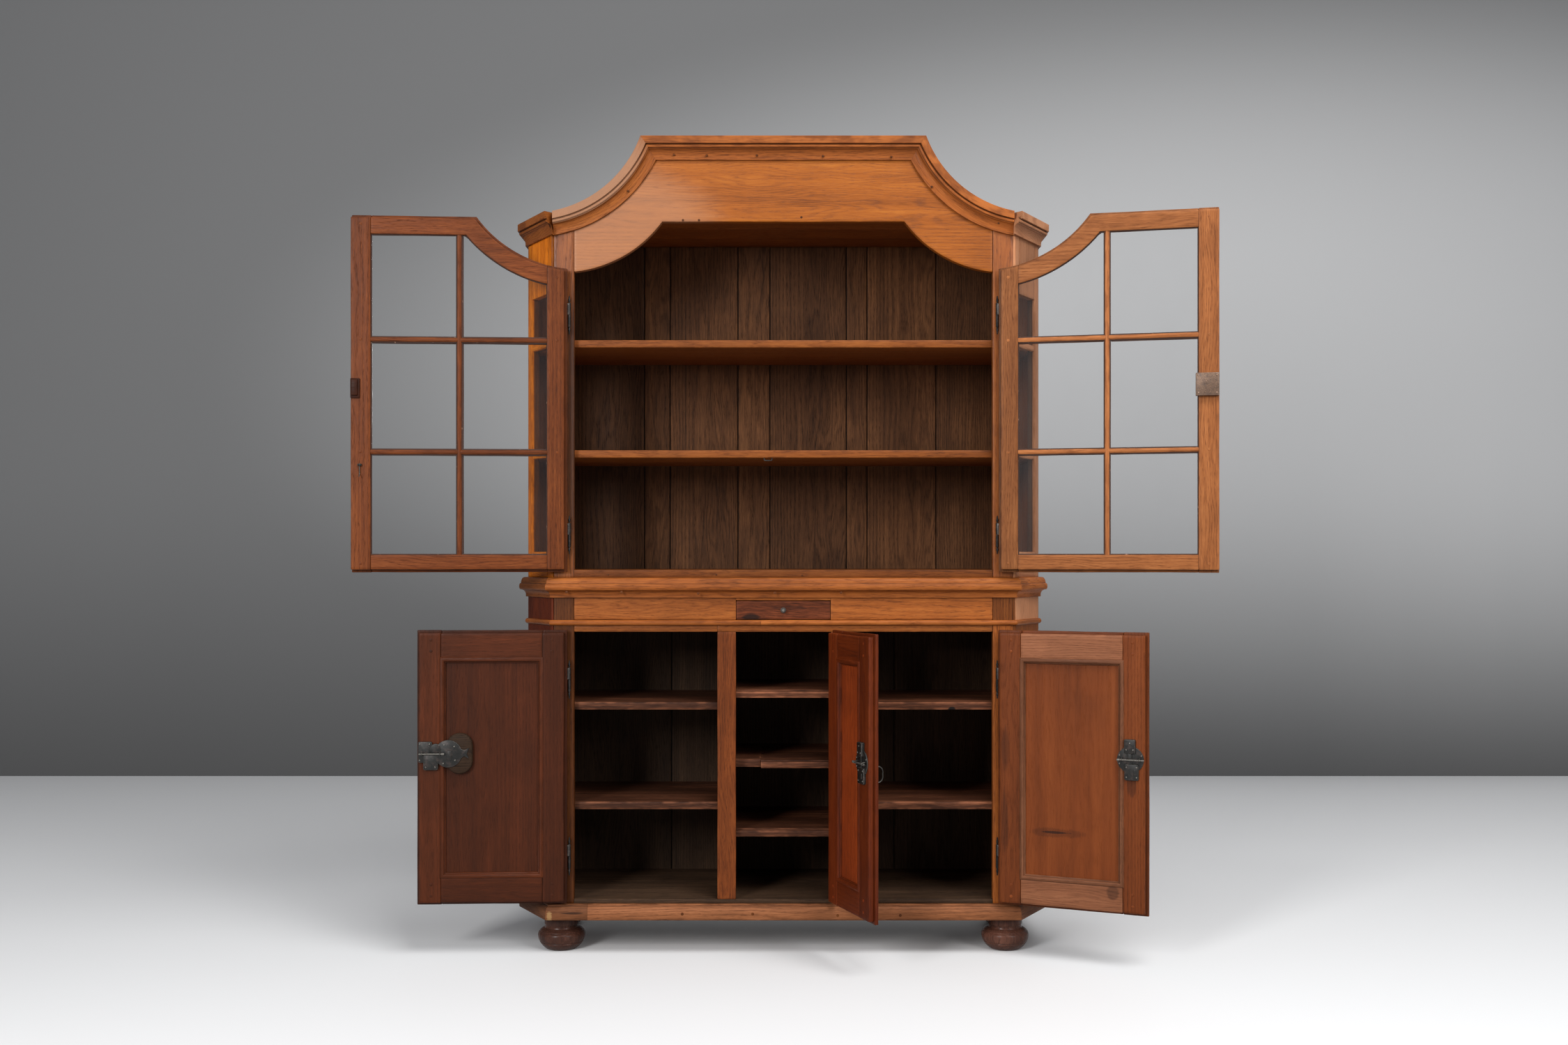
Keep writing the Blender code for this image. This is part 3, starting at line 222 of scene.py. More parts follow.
# %% [markdown]
# The studio is a pale floor and a grey wall well behind it. The wall is brighter towards the upper
# right, as the photograph's is, and both are only a stage: they never travel with the cabinet.

# %% Stage
WALL_DEPTH = 3.11  # behind the front of the cabinet
STAGE_HALF = 9.0
WALL_HEIGHT = 6.0
GLOW_X, GLOW_Z = 3.0, 1.8  # middle of the painted glow of light on the wall


def flat_sheet(name, corners, material):
    """Four corners joined by one face, for the stage only."""
    mesh = bpy.data.meshes.new(name)
    mesh.from_pydata(corners, [], [(0, 1, 2, 3)])
    mesh.materials.append(material)
    sheet = bpy.data.objects.new(name, mesh)
    bpy.context.scene.collection.objects.link(sheet)
    return sheet


def wall_finish():
    """Grey that lightens with a painted glow of light, soft and round, to the right.

    It is clear from behind, so that views from there show the cabinet's back.
    """
    wall = Finish("studio wall")
    place = wall.node("ShaderNodeTexCoord", output="Object")
    x, _, z = wall.split(place)
    # painted light: a soft round pool of light painted into the wall's grey
    glow = 1.0 - (((x - GLOW_X) * 0.22) ** 2.0 + ((z - GLOW_Z) * 0.65) ** 2.0)
    colour = wall.mix(glow.between(-0.6, 1.0), srgb(130, 130, 130), srgb(203, 203, 203))
    colour = wall.mix(z.between(1.5, -0.5) * 0.62, colour, (0.02, 0.02, 0.02, 1.0))
    behind = wall.node("ShaderNodeNewGeometry", output="Backfacing")
    return wall.surface({"Base Color": colour, "Roughness": 0.9, "Alpha": 1.0 - behind})


def floor_finish():
    """Pale to the camera, in mirrors and through glass.

    It is darker to every other ray, so that it throws little light up at the cabinet.
    """
    floor = Finish("studio floor")
    direct, mirror, glass = (floor.node("ShaderNodeLightPath", output=ray)
                             for ray in ("Is Camera Ray", "Is Glossy Ray", "Is Transmission Ray"))
    looked_at = (direct + mirror + glass).between(0.0, 1.0)
    colour = floor.mix(looked_at, srgb(128, 128, 128), srgb(237, 237, 237))
    return floor.surface({"Base Color": colour, "Roughness": 0.55})


wall_y = FRONT + WALL_DEPTH
flat_sheet("floor", [(-STAGE_HALF, -STAGE_HALF, 0), (STAGE_HALF, -STAGE_HALF, 0),
                     (STAGE_HALF, wall_y, 0), (-STAGE_HALF, wall_y, 0)], floor_finish())
flat_sheet("wall", [(-STAGE_HALF, wall_y, 0), (STAGE_HALF, wall_y, 0),
                    (STAGE_HALF, wall_y, WALL_HEIGHT), (-STAGE_HALF, wall_y, WALL_HEIGHT)],
                    wall_finish())
print("stage: floor and wall")


# %% [markdown]
# A tall soft lamp on the left makes the inside fall dark on that side, a weak one fills from the
# right, and a wide one overhead lights the floor and the tops of the mouldings.

# %% Lights
def soft_lamp(name, place, aim, width, height, watts):
    """Rectangular lamp that faces its aim."""
    lamp = bpy.data.lights.new(name, "AREA")
    lamp.shape = "RECTANGLE"
    lamp.size, lamp.size_y = width, height
    lamp.energy = watts
    made = bpy.data.objects.new(name, lamp)
    made.location = place
    run = [goal - start for goal, start in zip(aim, place)]
    yaw = math.atan2(run[1], run[0]) - math.pi / 2
    pitch = math.atan2(math.hypot(run[0], run[1]), -run[2])
    made.rotation_euler = (pitch, 0.0, yaw)
    bpy.context.scene.collection.objects.link(made)


LAMPS = (  # name, place, aim, width, height and watts
    ("side lamp", (-2.6, -4.4, 2.6), (0.1, 0.0, 1.1), 1.2, 2.2, 180.0),
    ("fill lamp", (3.2, -4.2, 2.6), (0.0, 0.0, 1.1), 1.6, 2.0, 85.0),
    ("overhead lamp", (1.5, -2.6, 4.8), (0.7, -1.2, 0.0), 3.0, 2.4, 205.0))
AIR_COLOUR, AIR_STRENGTH = (0.9, 0.93, 1.0, 1.0), 0.26
for lamp in LAMPS:
    soft_lamp(*lamp)
world = bpy.data.worlds.new("studio air")
world.use_nodes = True
air = world.node_tree.nodes["Background"].inputs
air["Color"].default_value = AIR_COLOUR
air["Strength"].default_value = AIR_STRENGTH
bpy.context.scene.world = world
print("lamps:", len(LAMPS))

# %% [markdown]
# Oak shows three things: yearly rings, which a saw cut turns into straight lines or pointed arches;
# long fibres; and open pores that hold dirt. Each board carries its own place in the log as a
# vertex attribute `grain` (along, across and through the board), so one recipe gives every board
# its own figure. `worn` is high along rubbed edges, which lighten, and negative in the
# hollow corners of mouldings, which darken partly as dirt and partly as painted shade. `tone` sets
# how dark the single board is.


# %% Oak recipe
STAIN_AND_SHADE_COLOUR, FRESH_WOOD = (0.008, 0.005, 0.004, 1.0), (0.60, 0.34, 0.14, 1.0)
PAINTED_SHEEN_COLOUR = (0.40, 0.205, 0.115, 1.0)  # painted sheen: a pale colour that stands for light shining on the polish


def oak(name, light, middle, dark, gloss=0.46, ring_width=0.006, figure=1.0, stains=(), rub=0.3,
        rings_seen=0.10, sheen=0.12, chips=(), blooms=()):
    """Rings are a sine of the distance from the log's heart; fibres and pores are stretched noise.

    Stains and painted shadows are soft dark ellipsoids, each given by its centre, three radii and
    strength. A chip is a pale one, where fresh wood shows, and a painted sheen a wide pale one,
    which stands for light shining on the polish.
    """
    wood = Finish(name)
    along, across, depth = wood.split(wood.attribute("grain", "Vector"))
    worn = wood.attribute("worn")
    tone = wood.attribute("tone")

    def fibres(length, width, detail):
        return wood.noise(along * (1 / length), across * (1 / width), depth * (1 / width), detail)

    sway = fibres(0.40, 0.060, 2.0) - 0.5
    heart = ((across + sway * 0.060) ** 2.0 + (depth + sway * 0.05) ** 2.0) ** 0.5
    rings = (heart * (2 * math.pi / ring_width) + sway * 4.0).math("SINE")
    late = rings.between(-0.5, 1.0)
    cloud = fibres(0.50, 0.110, 3.0) - 0.5
    flame = fibres(0.70, 0.026, 2.0) - 0.5
    streak = fibres(0.11, 0.0038, 2.0) - 0.5
    fleck = fibres(0.030, 0.0017, 2.0) - 0.5
    pores = fibres(0.017, 0.0010, 1.0).between(0.52, 0.67) * (0.25 + late * 0.75)
    shade = (0.52 + cloud * 0.70 + flame * 0.55 - (late - 0.5) * rings_seen
             + (streak * 0.30 + fleck * 0.55) * figure)
    colour = wood.mix(shade.between(0.06, 0.58), dark, middle)
    colour = wood.mix(shade.between(0.46, 1.0), colour, light)
    colour = wood.mix(pores * min(0.6 * figure, 0.9), colour, dark)
    handling = fibres(0.05, 0.03, 2.0)
    # rubbed edges lighten as wear; the shelves' strong setting is also a painted highlight
    colour = wood.mix(worn * handling.between(0.3, 0.75) * rub, colour, light)
    colour = wood.mix(worn * handling.between(0.56, 0.40) * 0.45, colour, dark)
    # painted shade, partly dirt: hollow corners of mouldings go nearly black
    colour = wood.mix((worn * -1.0).between(0.25, 0.9) * 0.8, colour, STAIN_AND_SHADE_COLOUR)
    x, y, z = wood.split(wood.node("ShaderNodeTexCoord", output="Object"))
    patina = wood.noise(x * 5.0, y * 5.0, z * 5.0, 3.0, 0.6)
    colour = wood.mix(patina.between(0.46, 0.72) * 0.28, colour, dark)
    kinds = ((stains, STAIN_AND_SHADE_COLOUR, 1.0), (chips, FRESH_WOOD, 1.0), (blooms, PAINTED_SHEEN_COLOUR, 0.15))
    marks = [(*spot, spot_colour, ragged) for spots, spot_colour, ragged in kinds for spot in spots]
    for centre, radii, strength, mark_colour, ragged in marks:
        reach = [((value - middle_) * (1 / radius)) ** 2.0
                 for value, middle_, radius in zip((x, y, z), centre, radii)]
        inside = 1.0 - (reach[0] + reach[1] + reach[2])
        mark = (inside + (streak * 1.5 + sway * 2.0) * ragged).between(0.0, 0.7)
        colour = wood.mix(mark * strength, colour, mark_colour)
    colour = wood.node("ShaderNodeHueSaturation", {"Value": tone, "Color": colour})
    rough = streak * 0.12 + pores * 0.25 + fleck * 0.15 + gloss
    height = fleck * 0.4 - pores * 0.8 - late * 0.1
    return wood.surface({"Base Color": colour, "Roughness": rough, "Specular IOR Level": sheen},
                        height, distance=0.0005)


# %% [markdown]
# Each kind of board has three colours of its own, from its lightest fibres to the dirt in its
# pores. They were read from the photograph by eye and then matched against renders, because lamps
# and shadows change what a colour looks like.

# %% Oak finishes
HONEY_COLOURS = srgb(176, 103, 46), srgb(146, 79, 32), srgb(90, 45, 17)
HONEY = oak("honey oak", *HONEY_COLOURS, sheen=0.15, figure=1.35)
# painted sheen: a wide pale patch on the arch's left end, for light shining on its polish
ARCH_PAINTED_SHEEN = ((-0.46, FRONT, 1.80), (0.36, 0.10, 0.22), 0.45)
GOLDEN = oak("golden oak", srgb(176, 102, 29), srgb(149, 79, 18), srgb(94, 45, 8), 0.42,
             figure=0.95, sheen=0.25, blooms=[ARCH_PAINTED_SHEEN])
AMBER = oak("amber oak", srgb(244, 145, 36), srgb(215, 115, 22), srgb(131, 62, 11), figure=1.2)
# painted sheen: a paler, less saturated oak for the right glazed door
TAN = oak("tan oak", srgb(168, 107, 62), srgb(138, 82, 44), srgb(93, 51, 26), figure=1.35)
RUSSET = oak("russet oak", srgb(122, 65, 29), srgb(96, 47, 19), srgb(61, 28, 11), figure=1.4)
CHERRY = oak("cherry oak", srgb(147, 66, 27), srgb(119, 47, 17), srgb(72, 29, 12), figure=0.85)
UMBER = oak("umber oak", srgb(82, 38, 18), srgb(59, 26, 10), srgb(36, 15, 6), figure=0.8,
            rings_seen=0.04)
INNER = oak("inner oak", srgb(114, 75, 46), srgb(81, 51, 30), srgb(40, 24, 14), 0.62, 0.007, 1.3,
            rings_seen=0.13)
# partly painted shade: a darker, greyer oak for the inside of the lower stage
DUSK = oak("lower inner oak", srgb(86, 63, 46), srgb(61, 44, 31), srgb(34, 24, 18), 0.66)
EBONY = oak("stained feet", srgb(117, 76, 61), srgb(80, 50, 40), srgb(42, 29, 24), 0.24)
# painted sheen: a pale oak for right-hand pieces, standing for light shining on their polish
PAINTED_SHEEN_OAK = oak("sunned oak", srgb(228, 165, 122), srgb(210, 143, 101), srgb(160, 102, 66), figure=0.7)
print("oak finishes:",
      len([HONEY, GOLDEN, AMBER, TAN, RUSSET, CHERRY, UMBER, INNER, DUSK, EBONY, PAINTED_SHEEN_OAK]))


# %% [markdown]
# The ironwork is dark and slightly pitted, and bright where it is rubbed. Old window glass is clear
# with a faint mirror on it, which is drawn as a mirror that lets nearly everything through. Putty
# along the panes is a chalky crumb with dirt in it.

# %% Iron, glass and putty
def iron_finish(name, dark, light, bright):
    """Dark metal with fine grit and rust, bright where it is worn."""
    iron = Finish(name)
    x, y, z = iron.split(iron.node("ShaderNodeTexCoord", output="Object"))
    worn = iron.attribute("worn")
    grit = iron.noise(x * 700.0, y * 700.0, z * 700.0, 3.0)
    rust = iron.noise(x * 90.0, y * 90.0, z * 90.0, 3.0).between(0.45, 0.7)
    colour = iron.mix(grit.between(0.3, 0.7), dark, light)
    colour = iron.mix(rust * 0.5, colour, srgb(52, 34, 26))
    colour = iron.mix(worn * grit.between(0.25, 0.6), colour, bright)
    return iron.surface({"Base Color": colour, "Metallic": worn * 0.35 + 0.45 - rust * 0.3,
                         "Roughness": 0.34 + grit * 0.25}, grit, 0.25, 0.0004)


def glass_finish(name, shine):
    """Mirror that lets nearly everything through: it shows (0.04 + 0.96 * facing**5) * shine."""
    glass = Finish(name)
    x, y, z = glass.split(glass.node("ShaderNodeTexCoord", output="Object"))
    film = glass.noise(x * 14.0, y * 14.0, z * 9.0, 3.0).between(0.35, 0.8)
    facing = glass.node("ShaderNodeLayerWeight", {"Blend": 0.5}, output="Facing")
    mirror = facing ** 5.0 * 0.96 + 0.04
    return glass.surface({"Base Color": (0.93, 0.95, 0.94, 1.0), "Metallic": 1.0, "Roughness": 0.06,
                          "Alpha": mirror * shine + film * 0.012})


def putty_finish():
    """Dark crumbs with some chalk on them."""
    putty = Finish("old putty")
    x, y, z = putty.split(putty.node("ShaderNodeTexCoord", output="Object"))
    crumb = putty.noise(x * 160.0, y * 160.0, z * 160.0, 3.0)
    patch = putty.noise(x * 45.0, y * 45.0, z * 45.0, 2.0)
    chalk = (crumb * 0.6 + patch * 0.6).between(0.72, 0.84)
    colour = putty.mix(chalk, srgb(55, 32, 22), srgb(150, 118, 98))
    return putty.surface({"Base Color": colour, "Roughness": 0.85}, crumb, 0.6, 0.001)


IRON = iron_finish("dark iron", srgb(8, 8, 7), srgb(22, 22, 20), srgb(118, 114, 107))
HINGE_IRON = iron_finish("hinge iron", srgb(9, 8, 8), srgb(22, 20, 18), srgb(98, 92, 86))
GREY_IRON = iron_finish("grey iron", srgb(77, 57, 45), srgb(126, 100, 81), srgb(156, 128, 109))
GLASS = glass_finish("window glass", 0.5)
CORNER_GLASS = glass_finish("corner glass", 0.22)
PUTTY = putty_finish()
print("iron, glass and putty:", len([IRON, HINGE_IRON, GREY_IRON, GLASS, CORNER_GLASS, PUTTY]))

# %% [markdown]
# `Shape` gathers closed skins into one mesh. A skin is a grid of points: rows are sections along
# the piece and columns go round it. Each vertex also gets its grain place, its wear and painted
# shade, and its tone.


# %% Gather skins into a mesh
class Shape:
    """Closed surfaces that end up in one object."""

    def __init__(self):
        self.points, self.grains, self.wear, self.tones, self.faces = [], [], [], [], []
        self.count = 0

    def skin(self, grid, grain, worn, tone, looped=False):
        """Quads join section i to i + 1 and column j to j + 1; one face closes each plain end."""
        rows, columns = grid.shape[:2]
        index = np.arange(rows * columns).reshape(rows, columns) + self.count
        if looped:
            index = np.vstack([index, index[:1]])
        beside = np.roll(index, -1, axis=1)
        quads = np.stack([index[:-1], beside[:-1], beside[1:], index[1:]], axis=-1)
        self.faces += quads.reshape(-1, 4).tolist()
        if not looped:
            self.faces += [index[0][::-1].tolist(), index[-1].tolist()]
        self.points.append(grid.reshape(-1, 3))
        self.grains.append(np.broadcast_to(grain, grid.shape).reshape(-1, 3))
        self.wear.append(np.broadcast_to(worn, (rows, columns)).reshape(-1))
        self.tones.append(np.full(rows * columns, tone))
        self.count += rows * columns

    def make(self, name, finish, body, slot, *nodes):
        """One object on a CAD body, standing in for the named nodes."""
        mesh = bpy.data.meshes.new(name)
        mesh.from_pydata(np.concatenate(self.points).tolist(), [], self.faces)
        tidy = bmesh.new()
        tidy.from_mesh(mesh)
        bmesh.ops.recalc_face_normals(tidy, faces=tidy.faces)
        tidy.to_mesh(mesh)
        tidy.free()
        grain = mesh.attributes.new("grain", "FLOAT_VECTOR", "POINT")
        grain.data.foreach_set("vector", np.concatenate(self.grains).ravel())
        for word, values in (("worn", self.wear), ("tone", self.tones)):
            layer = mesh.attributes.new(word, "FLOAT", "POINT")
            layer.data.foreach_set("value", np.concatenate(values))
        mesh.materials.append(finish)
        mesh.shade_smooth()
        mesh.set_sharp_from_angle(angle=math.radians(40.0))
        made = bpy.data.objects.new(name, mesh)
        bpy.context.scene.collection.objects.link(made)
        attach(made, body)
        if nodes:
            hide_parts(*nodes)
        return made


# %% [markdown]
# Places are given as (x, depth, height). `standing` leaves them in the carcase, `swung` turns them
# with an open door about its hinge pin, and `canted` lays them on a canted corner, where x runs
# along the corner from its front edge and depth goes inwards.


# %% Places
cant_run = np.array([BODY_HALF - CORNER, CANT_DEPTH])
CANT_LENGTH = float(np.hypot(*cant_run))
CANT_ALONG = cant_run / CANT_LENGTH
CANT_IN = np.array([-CANT_ALONG[1], CANT_ALONG[0]])
print(f"canted corners: {CANT_LENGTH * 1000:.0f} mm long")


def standing(points):
    """Leave points in the carcase, with depth counted from the front of the stiles."""
    return points + np.array([0.0, FRONT, 0.0])


def swung(door):
    """Turn about the door's hinge pin by the angle at which the CAD part holds it open."""
    joint = JOINTS[door + "_door_hinge"]
    angle = -math.radians(joint["range_deg"][0]) * joint["axis"][2]
    pin_x, pin_y = joint["pos_m"][:2]

    def place(points):
        x, y = points[..., 0] - pin_x, points[..., 1] + FRONT - pin_y
        turned_x = pin_x + x * math.cos(angle) - y * math.sin(angle)
        turned_y = pin_y + x * math.sin(angle) + y * math.cos(angle)
        return np.stack([turned_x, turned_y, points[..., 2]], axis=-1)

    return place


def canted(sign):
    """Lay points on the left (-1) or right (1) canted corner."""
    def place(points):
        plan = points[..., :1] * CANT_ALONG + points[..., 1:2] * CANT_IN
        return np.stack([sign * (CORNER + plan[..., 0]), FRONT + plan[..., 1], points[..., 2]],
                        axis=-1)

    return place


def cant_depth(x, inwards):
    """Depth of a line parallel to the cant's outer face, at a distance from the middle."""
    along = (np.abs(x) - CORNER - inwards * CANT_IN[0]) / CANT_ALONG[0]
    return along * CANT_ALONG[1] + inwards * CANT_IN[1]


# %% [markdown]
# A board is a rounded rectangle carried along its length. Its long edges wander by a few tenths of
# a millimetre, as hand-planed edges do, and its arrises are rubbed round. Where an edge is sawn to
# a curve, two functions give the lower and upper edge at each place along the board.

# %% Chance and edges
ARRIS = 0.0016  # rubbed radius of a board's edges
WEAR_WIDTH = 0.007  # how far wear reaches from an edge
WANDER = 0.00025  # how far a hand-planed edge strays
chance = np.random.default_rng(1790)


def log_place():
    """Where in the log a board was cut: along it, beside its heart and away from its heart."""
    return np.array([chance.uniform(0.0, 40.0), chance.uniform(-0.11, 0.11),
                     chance.uniform(0.03, 0.15)])


def vary(tone, amount=0.07):
    """Tone of one board out of many, changed by chance."""
    return tone * (1.0 + chance.uniform(-amount, amount))


def stray(stops, amount):
    """Two sines of different length, with a chance start."""
    first, second = chance.uniform(0.0, 2 * math.pi, 2)
    return amount * (np.sin(stops * 15.0 + first) + 0.6 * np.sin(stops * 43.0 + second) + 1.6)


def level_edge(value):
    """Edge function of a straight edge."""
    return lambda x: np.full_like(x, value)


print(f"edges: rubbed round to {ARRIS * 1000:.1f} mm, worn for {WEAR_WIDTH * 1000:.0f} mm")

# %% [markdown]
# The section of a board is a ring of twenty columns, five round each corner, so that wear can fade
# from the edge into the face. The same ring is repeated along the board, smaller at its two rounded
# ends.


# %% Boards
def rounded_ring(radius, wide_fade, thick_fade):
    """Columns round a board: the wide and thick side each is near, its distance and wear."""
    turn = np.radians([0.0, 45.0, 90.0])
    wide_in = np.concatenate([[0.0], radius * (1 - np.cos(turn)), [wide_fade]])
    thick_in = np.concatenate([[thick_fade], radius * (1 - np.sin(turn)), [0.0]])
    worn = np.array([0.0, 0.6, 1.0, 0.6, 0.0])
    corners = [(0, 0, 1), (1, 0, -1), (1, 1, 1), (0, 1, -1)]
    wide_side = np.concatenate([np.full(5, wide) for wide, _, _ in corners])
    thick_side = np.concatenate([np.full(5, thick) for _, thick, _ in corners])
    return (wide_side, np.concatenate([wide_in[::step] for _, _, step in corners]), thick_side,
            np.concatenate([thick_in[::step] for _, _, step in corners]), np.tile(worn, 4))


def board(shape, x, depth, z, grain, tone=1.0, arris=ARRIS, sweep=None, edges=None, breaks=(),
          steps=7, place=standing, log=None):
    """Rounded rectangle swept along one axis; its wide limits can be given by edge functions.

    At a distance s from an end, below the radius, every side is drawn in by
    radius - sqrt(radius**2 - (radius - s)**2), which rounds the end.
    """
    limits = np.array([x, depth, z], float)
    sweep = grain if sweep is None else sweep
    sizes = np.ptp(limits, axis=1)
    wide, thick = sorted((axis for axis in (X, Y, Z) if axis != sweep),
                         key=lambda axis: -sizes[axis])
    start, end = limits[sweep]
    radius = min(arris, 0.3 * sizes[thick], 0.3 * sizes[wide])
    fade = min(WEAR_WIDTH, 0.45 * sizes[thick])
    side_fade = min(WEAR_WIDTH, 0.45 * sizes[wide])
    end_fade = min(WEAR_WIDTH, 0.4 * (end - start))
    run = np.linspace(end_fade, end - start - end_fade, steps)
    tips = np.array([0.0, 0.29 * radius, radius])
    stops = np.unique(np.concatenate([tips, run, np.array(breaks, float) - start,
                                      end - start - tips]))
    to_end = np.minimum(stops, end - start - stops)
    inset = radius - np.sqrt(np.maximum(radius**2 - np.maximum(radius - to_end, 0.0)**2, 0.0))
    at = start + stops
    low, high = (edge(at) for edge in edges or [level_edge(value) for value in limits[wide]])
    low, high = low + inset + stray(stops, WANDER), high - inset - stray(stops, WANDER)
    near, far = limits[thick][0] + inset, limits[thick][1] - inset
    wide_side, wide_in, thick_side, thick_in, worn = rounded_ring(radius, side_fade, fade)
    grid = np.empty((len(at), len(worn), 3))
    grid[..., sweep] = at[:, None]
    grid[..., wide] = np.where(wide_side == 0, low[:, None] + wide_in, high[:, None] - wide_in)
    grid[..., thick] = np.where(thick_side == 0, near[:, None] + thick_in, far[:, None] - thick_in)
    across = wide if grain == sweep else sweep
    middle = limits.mean(axis=1)
    log = log_place() if log is None else log
    figure = np.stack([grid[..., grain] - middle[grain], grid[..., across] - middle[across],
                       grid[..., thick] - middle[thick]], axis=-1) + log
    ends = np.clip(1.0 - to_end / end_fade, 0.0, 1.0)[:, None] ** 2
    shape.skin(place(grid), figure, np.maximum(worn, ends), tone)


# %% [markdown]
# Mouldings are a profile of (out, up) points carried along a line. Sharp corners of the profile are
# cut back a little so that they catch the light. Every outward corner counts as worn, and every
# hollow corner is darkened, partly as dirt and partly as painted shade.


# %% Mouldings
def curve(centre, radii, start, end, steps):
    """Points of an elliptical arc, centre + radii * (cos, sin), with angles in degrees."""
    turn = np.radians(np.linspace(start, end, steps + 1))
    return np.stack([centre[0] + radii[0] * np.cos(turn), centre[1] + radii[1] * np.sin(turn)],
                    axis=-1)


def unit(vectors):
    """Rows of an array, each made one long."""
    return vectors / np.linalg.norm(vectors, axis=1)[:, None]


def turning(profile):
    """Signed turn at each point of a closed profile, in radians, and its two edges."""
    before = profile - np.roll(profile, 1, axis=0)
    after = np.roll(profile, -1, axis=0) - profile
    cross = before[:, 0] * after[:, 1] - before[:, 1] * after[:, 0]
    return np.arctan2(cross, (before * after).sum(axis=1)), before, after


def softened(points, cut=0.0006):
    """Closed profile with each sharp corner replaced by two points a short way along its edges."""
    profile = np.array(points, float)
    turn, before, after = turning(profile)
    lengths = np.linalg.norm(before, axis=1), np.linalg.norm(after, axis=1)
    sharp = np.abs(turn) > math.radians(25.0)
    pull = [np.minimum(cut, 0.35 * length) / length for length in lengths]
    first = profile - before * (pull[0] * sharp)[:, None]
    second = profile + after * (pull[1] * sharp)[:, None]
    both = np.stack([first, second], axis=1).reshape(-1, 2)
    return both[np.stack([np.ones_like(sharp), sharp], axis=1).ravel()]


def profile_wear_and_shade(profile):
    """1 at a corner that stands out and gets rubbed, -1 at a hollow corner: dirt and painted shade.
    """
    turn = turning(profile)[0]
    outward = turn * np.sign(turn.sum())
    return np.clip(outward / math.radians(40.0), -1.0, 1.0)


def carried(shape, profile, origins, outs, ups, tone=1.0, looped=False, place=standing):
    """Point (i, j) is origin i plus profile j, measured along section i's out and up directions."""
    origins, outs, ups = (np.array(values, float) for values in (origins, outs, ups))
    out, up = profile[None, :, :1], profile[None, :, 1:]
    grid = origins[:, None] + out * outs[:, None] + up * ups[:, None]
    steps = np.linalg.norm(np.diff(origins, axis=0), axis=1)
    along = np.concatenate([[0.0], np.cumsum(steps)])
    ones = np.ones((len(origins), len(profile)))
    figure = np.stack([along[:, None] * ones, profile[:, 1] * ones, profile[:, 0] * ones], axis=-1)
    shape.skin(place(grid), figure + log_place(), profile_wear_and_shade(profile), tone, looped)


# %% [markdown]
# Feet, hinge pins and rivets are turned: a profile is spun about an axis. Lock plates are an
# outline raised a little with a bevelled edge, and hooks and staples are a wire bent along a path.


# %% Turnings, plates and wires
def turned(shape, profile, foot, axis=(0.0, 0.0, 1.0), steps=20, tone=1.0, place=standing,
           worn=None):
    """Radius and height of a profile spun about an axis: foot + height * axis + radius * circle."""
    profile, axis, foot = np.array(profile, float), np.array(axis, float), np.array(foot, float)
    side = np.cross(axis, [0.0, 1.0, 0.0] if abs(axis[1]) < 0.9 else [1.0, 0.0, 0.0])
    side /= np.linalg.norm(side)
    other = np.cross(axis, side)
    turn = np.linspace(0.0, 2 * math.pi, steps, endpoint=False)
    circle = np.cos(turn)[:, None] * side + np.sin(turn)[:, None] * other
    radius, height = profile[:, 0], profile[:, 1]
    grid = foot + height[:, None, None] * axis + radius[:, None, None] * circle
    figure = np.stack([np.repeat(height[:, None], steps, 1), radius[:, None] * np.cos(turn),
                       radius[:, None] * np.sin(turn)], axis=-1) + log_place()
    worn = np.zeros(len(profile)) if worn is None else np.array(worn, float)
    shape.skin(place(grid), figure, worn[:, None], tone)


def plate(shape, outline, thickness, place, bevel=0.0008, sunk=0.001, tone=1.0):
    """Outline of (x, y) points raised to a thickness.

    Its upper edge is drawn in along the outline's normals, as a bevel.
    """
    outline = np.array(outline, float)
    _, before, after = turning(outline)
    run = unit(before) + unit(after)
    normal = unit(np.stack([run[:, 1], -run[:, 0]], axis=-1))
    x, y = outline.T
    area = (x * np.roll(y, -1) - np.roll(x, -1) * y).sum()
    normal *= np.sign(area)
    drawn_in = np.array([0.0, 0.0, 0.35, 1.0]) * bevel
    heights = np.array([-sunk, thickness - bevel, thickness - 0.35 * bevel, thickness])
    flat = outline[None] - normal[None] * drawn_in[:, None, None]
    levels = np.broadcast_to(heights[:, None, None], flat.shape[:2] + (1,))
    grid = np.concatenate([flat, levels], axis=-1)
    shape.skin(place(grid), grid, np.array([0.0, 0.1, 0.5, 0.03])[:, None], tone)


def wire(shape, path, radius, normal, looped=False, place=standing, worn=0.5, steps=8):
    """Circle carried along a flat path: path + radius * (cos * normal + sin * side)."""
    path, normal = np.array(path, float), np.array(normal, float)
    if looped:
        run = np.roll(path, -1, axis=0) - np.roll(path, 1, axis=0)
    else:
        run = np.gradient(path, axis=0)
    side = unit(np.cross(run, normal))[:, None]
    turn = np.linspace(0.0, 2 * math.pi, steps, endpoint=False)[:, None]
    grid = path[:, None] + radius * (np.cos(turn) * normal + np.sin(turn) * side)
    shape.skin(place(grid), grid, worn, 1.0, looped)


def rounded_box(width, height, radius=0.004, centre=(0.0, 0.0)):
    """Outline of a rectangle with round corners."""
    half = np.array([width, height]) / 2 - radius
    corners = [((1, 1), 0), ((-1, 1), 90), ((-1, -1), 180), ((1, -1), 270)]
    return np.concatenate([curve(centre + half * side, (radius, radius), turn, turn + 90, 4)
                           for side, turn in corners])


# %% [markdown]
# Four bun feet carry the cabinet. They are turned, nearly black and polished, with two thin lines
# scored round the bun, so one profile spun about an upright axis makes all of them.

